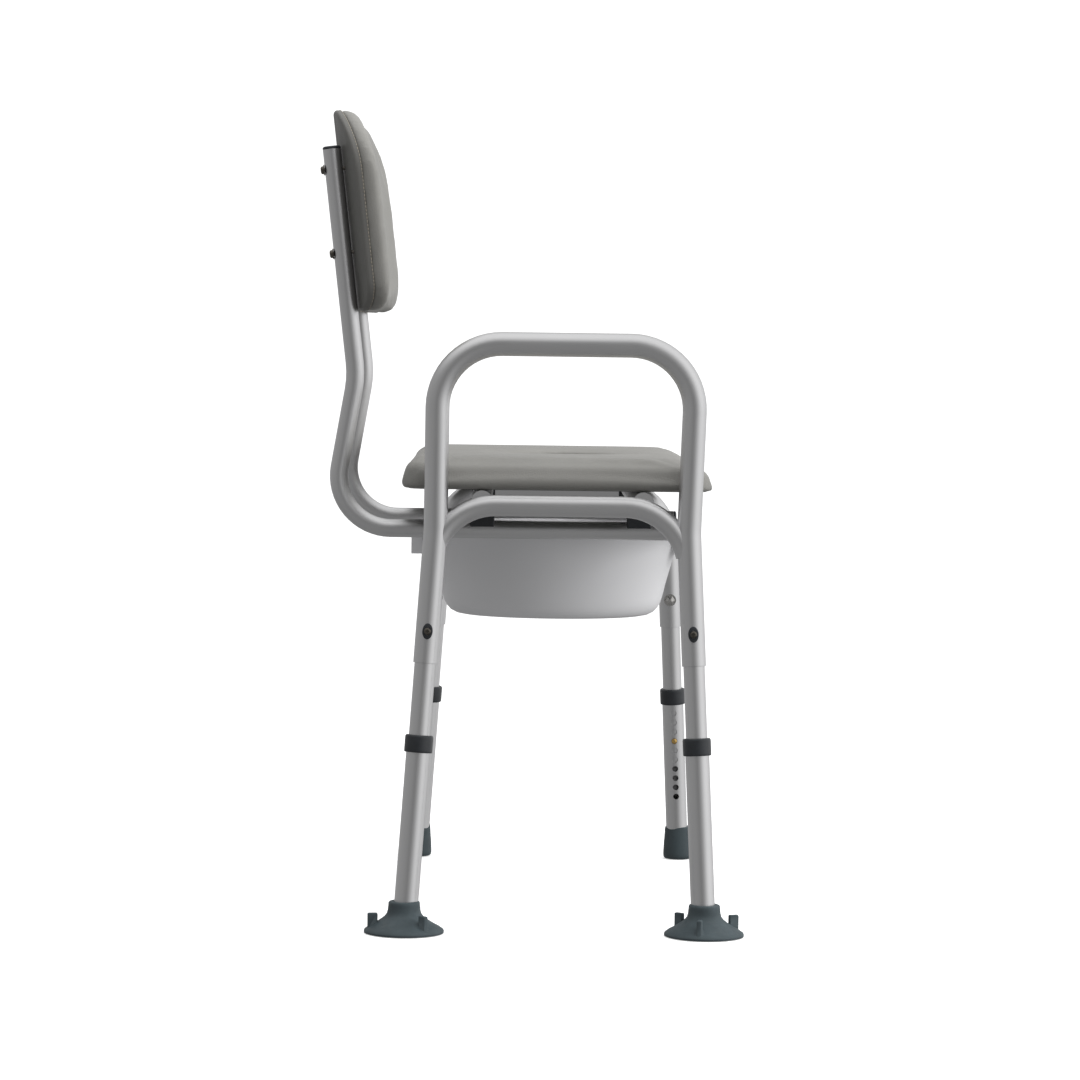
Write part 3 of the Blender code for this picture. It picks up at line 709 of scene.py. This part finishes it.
def finish(name, bm, mat):
    """Make an object that is shaded smooth except at its sharp edges."""
    bmesh.ops.remove_doubles(bm, verts=bm.verts, dist=MERGE_DISTANCE)
    bmesh.ops.recalc_face_normals(bm, faces=bm.faces)
    mesh = bpy.data.meshes.new(name)
    bm.to_mesh(mesh)
    bm.free()
    mesh.shade_smooth()
    mesh.set_sharp_from_angle(angle=SHARP_ANGLE)
    obj = bpy.data.objects.new(name, mesh)
    bpy.context.scene.collection.objects.link(obj)
    if mat is not None:
        mesh.materials.append(mat)
    return obj


def soften(obj, edge=EDGE, segments=2):
    """Round the sharp edges by a width in millimetres."""
    bevel = obj.modifiers.new("edges", "BEVEL")
    bevel.limit_method = "ANGLE"
    bevel.angle_limit = SHARP_ANGLE
    bevel.width = edge * MM
    bevel.segments = segments
    bevel.harden_normals = True


def boolean(target, cutters, operation="DIFFERENCE"):
    """Combine target with each cutter, keep the result as its mesh, and remove the cutters."""
    for cutter in cutters:
        modifier = target.modifiers.new(operation.lower(), "BOOLEAN")
        modifier.operation = operation
        modifier.solver = "EXACT"
        modifier.object = cutter
    graph = bpy.context.evaluated_depsgraph_get()
    mesh = bpy.data.meshes.new_from_object(target.evaluated_get(graph))
    target.modifiers.clear()
    target.data = mesh
    mesh.name = target.name
    mesh.set_sharp_from_angle(angle=SHARP_ANGLE)
    for cutter in cutters:
        bpy.data.objects.remove(cutter, do_unlink=True)
    return target


def tube(name, path, radius, wall, ref, mat, sides=40):
    """A hollow tube along a path, open at both ends, with u round it and v along it in metres."""
    bm = bmesh.new()
    outer = rings(bm, path, radius * MM, ref, sides)
    inner = rings(bm, path, (radius - wall) * MM, ref, sides)
    skin(bm, outer)
    skin(bm, inner)
    for end in (0, -1):
        skin(bm, [outer[end], inner[end]])
    uv = bm.loops.layers.uv.new("along")
    spots = {}
    for loops in (outer, inner):
        length = 0.0
        for i, loop in enumerate(loops):
            if i:
                length += (path[i] - path[i - 1]).length
            for k, vert in enumerate(loop):
                spots[vert] = (k * 2 * math.pi * radius * MM / sides, length)
    seam = math.pi * radius * MM
    for face in bm.faces:
        wide = max(spots[v][0] for v in face.verts) - min(spots[v][0] for v in face.verts) > seam
        for corner in face.loops:
            u, v = spots[corner.vert]
            if wide and u < seam:
                u += 2 * seam
            corner[uv].uv = (u, v)
    return finish(name, bm, mat)


def rod(name, path, radius, ref, mat=None, sides=40):
    """A solid round bar along a path, also used as a drill."""
    bm = bmesh.new()
    loops = rings(bm, path, radius * MM, ref, sides)
    skin(bm, loops)
    bm.faces.new(loops[0])
    bm.faces.new(loops[-1])
    return finish(name, bm, mat)


def box_at(name, centre, axes, size):
    """A box with its own axes; size in millimetres along each of them."""
    bm = bmesh.new()
    bmesh.ops.create_cube(bm, size=1.0)
    bmesh.ops.scale(bm, vec=[s * MM for s in size], verts=bm.verts)
    turn = Matrix(axes).transposed().to_4x4()
    bm.transform(Matrix.Translation(centre) @ turn)
    return finish(name, bm, None)


def block(name, low, high):
    """A box between two design corners."""
    a, b = place(*low), place(*high)
    size = [abs(q - p) / MM for p, q in zip(a, b)]
    return box_at(name, (a + b) / 2, ((1, 0, 0), (0, 1, 0), (0, 0, 1)), size)


def wear(obj, body, slot, *nodes):
    """obj rides a CAD body and stands for CAD nodes; slot is not used."""
    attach(obj, body)
    if nodes:
        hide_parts(*nodes)
    return obj


# ---------------------------------------------------------------- frame, legs and fittings

BENCH = "bench"


def frames(mats):
    metal = mats["aluminium"]
    for node, path, radius, wall in (
        ("arm_frame", arm_path(), FRAME_R, FRAME_WALL),
        ("far_frame", far_path(), FRAME_R, FRAME_WALL),
        ("seat_hoop", hoop_path(), HOOP_R, FRAME_WALL),
    ):
        obj = tube(f"fine_{node}", path, radius, wall, X_AXIS, metal)
        if node == "seat_hoop":
            boolean(obj, [rod("cope", arm_path(), FRAME_R - COPE_OVERLAP, X_AXIS)])
        soften(obj)
        wear(obj, BENCH, "aluminium", node)
    for name, side in (("rear", -1), ("front", 1)):
        rail = rod(f"fine_seat_rail_{name}", rail_line(side), RAIL_R, Z_AXIS, metal)
        boolean(rail, [rod("bore", rail_line(side, RAIL_CAP), RAIL_R - RAIL_WALL, Z_AXIS)])
        boolean(rail, [rod("cope", path, radius - COPE_OVERLAP, X_AXIS)
                       for path, radius in ((hoop_path(), HOOP_R), (far_path(), FRAME_R))])
        soften(rail, 0.4)
        wear(rail, BENCH, "aluminium", f"seat_rail_{name}")
    for name, sign in ENDS:
        path = back_path(sign * BACK_X)
        pipe = tube(f"fine_back_tube_{name}", path, BACK_R, BACK_WALL, X_AXIS, metal)
        soften(pipe)
        wear(pipe, BENCH, "aluminium", f"back_tube_{name}")


def cross_recess(centre, outward, ref, width, depth):
    """Two crossed slots for a screwdriver, as cutters."""
    side = outward.cross(ref).normalized()
    up = side.cross(outward)
    thin = width * 0.24
    return [
        box_at("slot", centre, (side, up, outward), (width, thin, depth)),
        box_at("slot", centre, (side, up, outward), (thin, width, depth)),
    ]


def leg_hardware(leg, mats):
    """The bolt through a leg, with its oval washer outside and its cap nut inside."""
    outward = -leg.inward
    middle = leg.at(LEG_BOLT_Z)
    washer = turned(
        f"fine_saddle_washer_{leg.name}", middle, outward, leg.up,
        [(3.2, FRAME_R - 4), (6.2, FRAME_R - 4), (6.2, WASHER_TOP - 0.9), (5.9, WASHER_TOP - 0.3),
         (5.2, WASHER_TOP), (3.2, WASHER_TOP)], 40, mats["black_plastic"],
    )
    stretch_about(washer, middle, leg.up, WASHER_OVAL)
    wear(washer, BENCH, "black_plastic", f"saddle_washer_{leg.name}")
    head = WASHER_TOP + GAP
    crown = head + 2.8
    screw = turned(
        f"fine_leg_bolt_{leg.name}", middle, outward, leg.up,
        [(0, -FRAME_R - 7), (3.0, -FRAME_R - 7), (3.0, head), (4.2, head), (4.3, head + 0.7),
         (4.0, head + 1.6), (3.1, head + 2.4), (1.6, crown), (0, crown)],
        32, mats["dark_steel"],
    )
    top = middle + outward * crown * MM
    boolean(screw, cross_recess(top, outward, leg.up, width=4.6, depth=3.2))
    wear(screw, BENCH, "dark_steel", f"leg_bolt_{leg.name}")
    nut = turned(
        f"fine_leg_nut_{leg.name}", middle, -outward, leg.up,
        [(0, FRAME_R + GAP), (6.4, FRAME_R + GAP), (6.4, FRAME_R + 5.2), (5.8, FRAME_R + 5.8),
         (5.2, FRAME_R + 6.0), (5.0, FRAME_R + 8.2), (4.0, FRAME_R + 10.0), (2.1, FRAME_R + 11.2),
         (0, FRAME_R + 11.5)], 6, mats["steel"],
    )
    soften(nut)
    wear(nut, BENCH, "steel", f"leg_nut_{leg.name}")
    ring = turned(
        f"nut_washer_{leg.name}", middle, -outward, leg.up,
        [(3.3, FRAME_R - 0.4), (8.2, FRAME_R - 0.4), (8.2, FRAME_R + 0.9), (3.3, FRAME_R + 0.9)],
        36, mats["steel"],
    )
    wear(ring, BENCH, "steel")


def leg_set(leg, mats):
    """One leg: inner tube, bolt, sleeve with its holes, collar, snap button and foot."""
    body = f"{leg.name}_leg"
    metal = mats["aluminium"]
    inner = tube(
        f"fine_leg_tube_{leg.name}", [leg.at(INNER_END_Z), leg.at(INNER_TOP_Z)], INNER_R,
        INNER_WALL, leg.inward, metal,
    )
    soften(inner)
    wear(inner, BENCH, "aluminium", f"leg_tube_{leg.name}")
    leg_hardware(leg, mats)
    button_at = leg.at(BUTTON_Z)
    sleeve = tube(
        f"fine_leg_sleeve_{leg.name}", [leg.at(SLEEVE_END_Z), leg.at(SLEEVE_TOP_Z)], FRAME_R,
        SLEEVE_WALL, leg.inward, metal,
    )
    drills = []
    for k in range(-HOLES_BELOW, HOLES_ABOVE + 1):
        hole = button_at + leg.up * HOLE_PITCH * k * MM
        ends = [hole + leg.inward * (reach * MM) for reach in (DRILL_FROM, DRILL_TO)]
        drills.append(rod("drill", ends, HOLE_R, leg.up, sides=20))
    boolean(sleeve, drills)
    soften(sleeve, 0.25)
    wear(sleeve, body, "aluminium", f"leg_sleeve_{leg.name}")
    wear(collar(leg, mats), body, "black_plastic", f"collar_{leg.name}")
    wall = INNER_R - INNER_WALL
    button = turned(
        f"fine_snap_button_{leg.name}", button_at, leg.inward, leg.up,
        [(0, wall - 3.2), (4.6, wall - 3.2), (4.6, wall - 1.8), (3.5, wall - 1.8),
         (3.5, FRAME_R + 1.0), (3.1, FRAME_R + 2.0), (2.2, FRAME_R + 2.7), (0, FRAME_R + 3.0)],
        28, mats["brass"],
    )
    wear(button, f"{leg.name}_button", "brass", f"snap_button_{leg.name}")
    if leg.end < 0:
        wear(suction_foot(leg, mats), body, "rubber", f"suction_foot_{leg.name}")
    else:
        wear(rubber_tip(leg, mats), body, "rubber", f"rubber_tip_{leg.name}")


def collar(leg, mats):
    height = (COLLAR_TOP_Z - COLLAR_LOW_Z) / leg.up.z
    r = COLLAR_R
    return turned(
        f"fine_collar_{leg.name}", leg.at(COLLAR_LOW_Z), leg.up, leg.inward,
        [(FRAME_R, 0.2), (r - 1.2, 0), (r - 0.4, 0.3), (r - 0.05, 1.2), (r, 3.0),
         (r, height - 2.8), (r - 0.3, height - 1.2), (r - 1.0, height - 0.3), (r - 2.0, height),
         (INNER_R + 0.4, height), (INNER_R + 0.3, height - 2.5), (FRAME_R, height - 3.0)],
        48, mats["black_plastic"],
    )


def suction_foot(leg, mats):
    """Wide suction cup: a beaded socket, a flared skirt with a thin lip, and three release tabs."""
    base = leg.at(0)
    foot = turned(
        f"fine_suction_foot_{leg.name}", base, Z_AXIS, X_AXIS,
        [(0, 3.0), (30.0, 2.6), (42.0, 0.6), (45.0, 0.0), (47.3, 0.5), (47.5, 2.6), (46.8, 4.2),
         (42.0, 7.6), (37.0, 10.2), (32.0, 13.2), (27.0, 16.6), (23.0, 19.8), (20.6, 23.0),
         (19.4, 27.0), (18.9, 32.0), (18.6, 35.6), (17.9, 37.0), (16.6, 37.5),
         (FRAME_R - 0.4, 37.5), (0, 35.0)], 72, mats["rubber"],
    )
    tabs = [release_tab(base, d) for d in tab_directions(leg)]
    boolean(foot, tabs, "UNION")
    return foot


def tab_directions(leg):
    for degrees in TAB_TURNS[leg.name]:
        angle = math.radians(degrees)
        yield Vector((-math.cos(angle), -math.sin(angle), 0))


def release_tab(base, out):
    """A rounded tab; boolean() with no cutters turns its bevel into mesh."""
    side = Z_AXIS.cross(out)
    centre = base + out * TAB_REACH * MM + Z_AXIS * TAB_MIDDLE_Z * MM
    tab = box_at("tab", centre, (out, side, Z_AXIS), TAB_SIZE)
    soften(tab, 1.6, 3)
    return boolean(tab, [])


def rubber_tip(leg, mats):
    return turned(
        f"fine_rubber_tip_{leg.name}", leg.at(0), Z_AXIS, X_AXIS,
        [(0, 0), (15.5, 0), (17.6, 0.5), (18.9, 1.8), (19.7, 4.5), (19.8, 8.0), (19.5, 14.0),
         (19.2, 22.0), (18.7, 27.0), (18.3, 34.0), (17.9, 41.0), (17.4, 43.2), (16.4, 44.0),
         (FRAME_R - 0.4, 44.0), (0, 42.0)], 56, mats["rubber"],
    )


# ---------------------------------------------------------------- backrest fittings and plugs


def back_fittings(mats):
    path = back_path(BACK_X)
    top = (path[-1] - path[-2]).normalized()
    forward = X_AXIS.cross(top).normalized()
    head = BACK_R + GAP
    crown = head + 4.8
    for name, sign in ENDS:
        path = back_path(sign * BACK_X)
        wear(plug(f"fine_back_plug_{name}", path[-1], top, mats), BENCH, "black_plastic",
             f"back_plug_{name}")
        wear(plug(f"fine_front_plug_{name}", path[0], Vector((0, -1, 0)), mats), BENCH,
             "black_plastic", f"front_plug_{name}")
        for label, z in zip(("lower", "upper"), BACK_BOLT_Z):
            centre = place(sign * BACK_X, back_centre_f(z), z)
            # the bolt's dark steel is painted shade of the gap between the back tube and the board
            bolt = turned(
                f"fine_back_bolt_{name}_{label}", centre, -forward, X_AXIS,
                [(0, -16), (2.3, -16), (2.3, head), (6.6, head), (6.6, head + 1.1),
                 (5.0, head + 1.2), (4.9, head + 3.0), (4.2, head + 4.2), (2.6, crown),
                 (0, crown)], 32, mats["dark_steel"],
            )
            cap = centre - forward * crown * MM
            boolean(bolt, cross_recess(cap, -forward, X_AXIS, width=5.2, depth=3.4))
            wear(bolt, BENCH, "dark_steel", f"back_bolt_{name}_{label}")


def plug(name, end, outward, mats):
    r = BACK_R
    return turned(
        name, end, outward, X_AXIS,
        [(0, -12), (r - BACK_WALL - 0.3, -12), (r - BACK_WALL - 0.3, GAP), (r + 0.1, GAP),
         (r + 0.1, 1.9), (r - 0.5, 2.8), (r - 2.0, 3.5), (0, 3.8)], 36, mats["black_plastic"],
    )


# ---------------------------------------------------------------- pail


def pail_shell(centre, mat):
    rim = PAIL_RIM_Z
    top = rim + PAIL_FLANGE
    outer = [(PAIL_RIM_R, rim - 1), (154.5, 437), (148.6, 416), (143.4, 397), (139.4, 380.5),
             (137.0, 373.0), (133.6, 366.5), (128.6, 361.2), (122.0, 357.8), (114.0, 356.3),
             (106.0, PAIL_FLOOR_Z)]
    inner = [(radius - PAIL_WALL, z) for radius, z in outer[:-2]]
    floor = PAIL_FLOOR_Z + PAIL_WALL
    profile = [(0, PAIL_FLOOR_Z)] + outer[::-1] + [(PAIL_RIM_R + 2, rim + 1.5)]
    profile += [(PAIL_RIM_R + 2, top + 1.2), (PAIL_RIM_R + 1, top + 1.8)]
    profile += [(inner[0][0] + 0.8, top + 1.8), (inner[0][0], top + 1.0)]
    profile += inner + [(107.0, floor), (0, floor)]
    return oval(turned("fine_pail", centre, Z_AXIS, X_AXIS, profile, PAIL_SIDES, mat), centre)


def pail_flange(centre):
    """The flat rim that slides in the two angle strips, with a hole for the pail."""
    rim = PAIL_RIM_Z
    outline = rounded_outline(
        (-PAIL_FLANGE_X, PAIL_F - PAIL_GRIP_F), (PAIL_FLANGE_X, PAIL_F + PAIL_GRIP_F),
        [PAIL_FLANGE_CORNER] * 4, steps=14,
    )
    levels = (rim, rim + PAIL_FLANGE)
    flange = stacked("flange", [[place(x, f, z) for x, f in outline] for z in levels], None)
    well = [(0, rim - 20), (PAIL_RIM_R - 1, rim - 20), (PAIL_RIM_R - 1, rim + 10), (0, rim + 10)]
    cutter = turned("well", centre, Z_AXIS, X_AXIS, well, PAIL_SIDES, None)
    return boolean(flange, [oval(cutter, centre)])


def pail_grips():
    """The finger lips at the front and rear of the flange, and the hollows to cut in them."""
    grips, hollows = [], []
    for side in (-1, 1):
        end = PAIL_F + side * PAIL_GRIP_F
        deep = end - side * PAIL_GRIP_DEPTH
        grips.append(block(
            "grip", (-PAIL_GRIP_X, min(end, deep), PAIL_GRIP_Z),
            (PAIL_GRIP_X, max(end, deep), PAIL_RIM_Z + PAIL_FLANGE - 0.6),
        ))
        lip = (deep - side, end - side * 3)
        hollows.append(block(
            "hollow", (-PAIL_GRIP_X + 3, min(lip), PAIL_GRIP_Z - 5),
            (PAIL_GRIP_X - 3, max(lip), PAIL_RIM_Z - 1),
        ))
    return grips, hollows


def pail(mats):
    centre = place(0, PAIL_F, 0)
    body = pail_shell(centre, mats["pail_plastic"])
    flange = pail_flange(centre)
    grips, hollows = pail_grips()
    boolean(body, [flange, *grips], "UNION")
    boolean(body, hollows)
    soften(body, 0.7)
    wear(body, "pail_body", "pail_plastic", "pail")


# ---------------------------------------------------------------- cushions

SIM_FRAMES = 20
VOXEL = 4.2
SWELL_CAP = 3.5
FIXED_DEPTH = 3.0  # a cushion is held still up to this far from its board


def evaluated_copy(obj):
    """Apply the object's modifiers and return its new mesh."""
    graph = bpy.context.evaluated_depsgraph_get()
    mesh = bpy.data.meshes.new_from_object(obj.evaluated_get(graph))
    obj.modifiers.clear()
    old = obj.data
    obj.data = mesh
    bpy.data.meshes.remove(old)
    return mesh


def stuffed(obj, held, mat):
    """Turn a solid into a cushion: remeshed, and blown up as cloth except where held() says."""
    remesh = obj.modifiers.new("remesh", "REMESH")
    remesh.mode = "VOXEL"
    remesh.voxel_size = VOXEL * MM
    smooth = obj.modifiers.new("smooth", "SMOOTH")
    smooth.factor = 0.5
    smooth.iterations = 2
    mesh = evaluated_copy(obj)
    start = [v.co.copy() for v in mesh.vertices]
    inflate(obj, [i for i, co in enumerate(start) if held(co)])
    mesh = evaluated_copy(obj)
    cap = SWELL_CAP * MM
    for vert, origin in zip(mesh.vertices, start):
        moved = vert.co - origin
        if moved.length > cap:
            vert.co = origin + moved * (cap / moved.length)
    relax = obj.modifiers.new("relax", "SMOOTH")
    relax.factor = 0.5
    relax.iterations = 4
    evaluated_copy(obj)
    obj.data.materials.clear()
    obj.data.materials.append(mat)
    obj.data.shade_smooth()
    fine = obj.modifiers.new("fine", "SUBSURF")
    fine.levels = fine.render_levels = 1
    return obj


def inflate(obj, fixed):
    """Run the cloth simulation with pressure inside and without gravity."""
    group = obj.vertex_groups.new(name="fixed")
    group.add(fixed, 1.0, "REPLACE")
    cloth = obj.modifiers.new("cloth", "CLOTH")
    settings = cloth.settings
    settings.quality = 5
    settings.mass = 0.4
    settings.tension_stiffness = settings.compression_stiffness = 30
    settings.shear_stiffness = 20
    settings.bending_stiffness = 2
    settings.use_pressure = True
    settings.uniform_pressure_force = 4.0
    settings.vertex_group_mass = "fixed"
    settings.effector_weights.gravity = 0.0
    cloth.collision_settings.use_collision = False
    cloth.point_cache.frame_start = 1
    cloth.point_cache.frame_end = SIM_FRAMES
    for step in range(1, SIM_FRAMES + 1):
        bpy.context.scene.frame_set(step)


def seat(mats):
    """The vinyl wraps over the board's edge, so the cushion reaches down to the board's underside."""
    low, high = SEAT_BOARD_TOP_Z + GAP, SEAT_TOP_Z
    wrapped = [(0.2, 1.0, 1.0, SEAT_UNDER_Z + 0.3), (-1.2, 0.0, 0.0, SEAT_UNDER_Z + 1.4)]
    # drawn in at the rear, front and ends, then the height as a share of the cushion's
    upper = [
        (-2.0, -0.5, -0.5, 0.15), (-1.6, 1.5, 0.0, 0.4), (0.0, 7.0, 2.0, 0.65),
        (4.0, 18.0, 8.0, 0.83), (12.0, 36.0, 24.0, 0.92), (26.0, 56.0, 62.0, 0.955),
    ]
    wrapped += [(rear, front, end, low + (high - low) * h) for rear, front, end, h in upper]
    pad = stacked("fine_seat_pad", [seat_layer(*level) for level in wrapped], None)
    boolean(pad, [stacked("hole", opening_layers(SEAT_UNDER_Z - 5, high + 5), None)])
    stuffed(pad, lambda co: co.z < (low + FIXED_DEPTH) * MM, mats["vinyl"])
    wear(pad, BENCH, "vinyl", "seat_pad")


def back_outline(inset):
    """The backrest's outline, closely spaced, so that its curved surfaces follow it."""
    corners = [PAD_LOWER_CORNER, PAD_LOWER_CORNER, PAD_UPPER_CORNER, PAD_UPPER_CORNER]
    outline = rounded_outline(
        (-PAD_HALF_X + inset, PAD_LOW_Z + inset), (PAD_HALF_X - inset, PAD_TOP_Z - inset),
        [corner - inset / 2 for corner in corners], steps=14,
    )
    points = []
    for (x0, z0), (x1, z1) in zip(outline, outline[1:] + outline[:1]):
        steps = max(1, round(math.hypot(x1 - x0, z1 - z0) / OUTLINE_STEP))
        points += [(x0 + (x1 - x0) * k / steps, z0 + (z1 - z0) * k / steps) for k in range(steps)]
    return points


def back_panel(name, profile, mat):
    """A curved slab: the backrest outline at each (inset, depth), closed by rings of faces."""
    bm = bmesh.new()
    outline = back_outline(0)

    def ring(inset, depth, share=1.0):
        spots = []
        for x, z in outline:
            reach = 1 - inset / max(abs(x), abs(z - PAD_MID_Z))
            spots.append(bm.verts.new(
                back_face(x * reach * share, PAD_MID_Z + (z - PAD_MID_Z) * reach * share, depth)
            ))
        return spots

    loops = [ring(inset, depth) for inset, depth in profile]
    skin(bm, loops)
    for loop, (inset, depth) in ((loops[0], profile[0]), (loops[-1], profile[-1])):
        inner = loop
        for step in range(PANEL_RINGS - 1, 0, -1):
            following = ring(inset, depth, step / PANEL_RINGS)
            skin(bm, [inner, following])
            inner = following
        bm.faces.new(inner)
    return finish(name, bm, mat)


def backrest_pads(mats):
    rear = BACK_BOARD + 0.9
    # the board's darker vinyl is painted shade behind the back tubes
    board = back_panel(
        "fine_back_board",
        [(5.0, 0.0), (2.8, 0.5), (1.6, 1.6), (1.0, 3.2), (0.8, BACK_BOARD + 1.6)], mats["board"],
    )
    wear(board, BENCH, "board", "back_board")
    thick = BACK_PAD - BACK_SWELL
    pad = back_panel(
        "fine_back_pad",
        [(1.0, rear), (-0.6, rear + thick * 0.2), (-0.4, rear + thick * 0.5),
         (2.5, rear + thick * 0.78), (9.0, rear + thick * 0.95), (22.0, rear + thick)], None,
    )
    stuffed(pad, lambda co: depth_of(co) < rear + FIXED_DEPTH, mats["vinyl"])
    wear(pad, BENCH, "vinyl", "back_pad")
    line = [back_face(x, z, SEAM_DEPTH) for x, z in back_outline(SEAM_INSET)]
    wear(stitches("back_stitches", line, mats["thread"]), BENCH, "vinyl")


def stitches(name, points, mat):
    """Short thread stitches, end to end with gaps, along a closed line of world points."""
    bm = bmesh.new()
    lengths = [(q - p).length for p, q in zip(points, points[1:] + points[:1])]
    total = sum(lengths)
    count = int(total / (STITCH_PITCH * MM))
    spots = []
    for k in range(count):
        along = total * k / count
        i = 0
        while along > lengths[i]:
            along -= lengths[i]
            i += 1
        start, stop = points[i], points[(i + 1) % len(points)]
        spots.append((start.lerp(stop, along / lengths[i]), (stop - start).normalized()))
    middle = sum(points, Vector()) / len(points)
    for spot, run in spots:
        out = (spot - middle).normalized()
        side = run.cross(out).normalized()
        up = side.cross(run)
        loops = []
        for along, radius in STITCH_SHAPE:
            centre = spot + out * STITCH_RAISE * MM + run * along * MM
            loops.append([
                bm.verts.new(centre + (side * math.cos(a) + up * math.sin(a)) * radius * MM)
                for a in (2 * math.pi * n / STITCH_SIDES for n in range(STITCH_SIDES))
            ])
        skin(bm, loops)
        bm.faces.new(loops[0])
        bm.faces.new(loops[-1])
    return finish(name, bm, mat)


# ---------------------------------------------------------------- everything

CAD_NODES_KEPT = {
    # the seat board's darker vinyl is painted shade under the cushion
    "seat_board": "board",
    "pail_rail_near": "aluminium",
    "pail_rail_far": "aluminium",
    "saddle_near_rear": "black_plastic",
    "saddle_near_front": "black_plastic",
    "saddle_far_rear": "black_plastic",
    "saddle_far_front": "black_plastic",
}


def build():
    camera()
    studio()
    mats = materials()
    frames(mats)
    for leg in LEGS:
        leg_set(leg, mats)
    back_fittings(mats)
    pail(mats)
    seat(mats)
    backrest_pads(mats)
    for node, slot in CAD_NODES_KEPT.items():
        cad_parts[node].material_slots[0].material = mats[slot]


build()
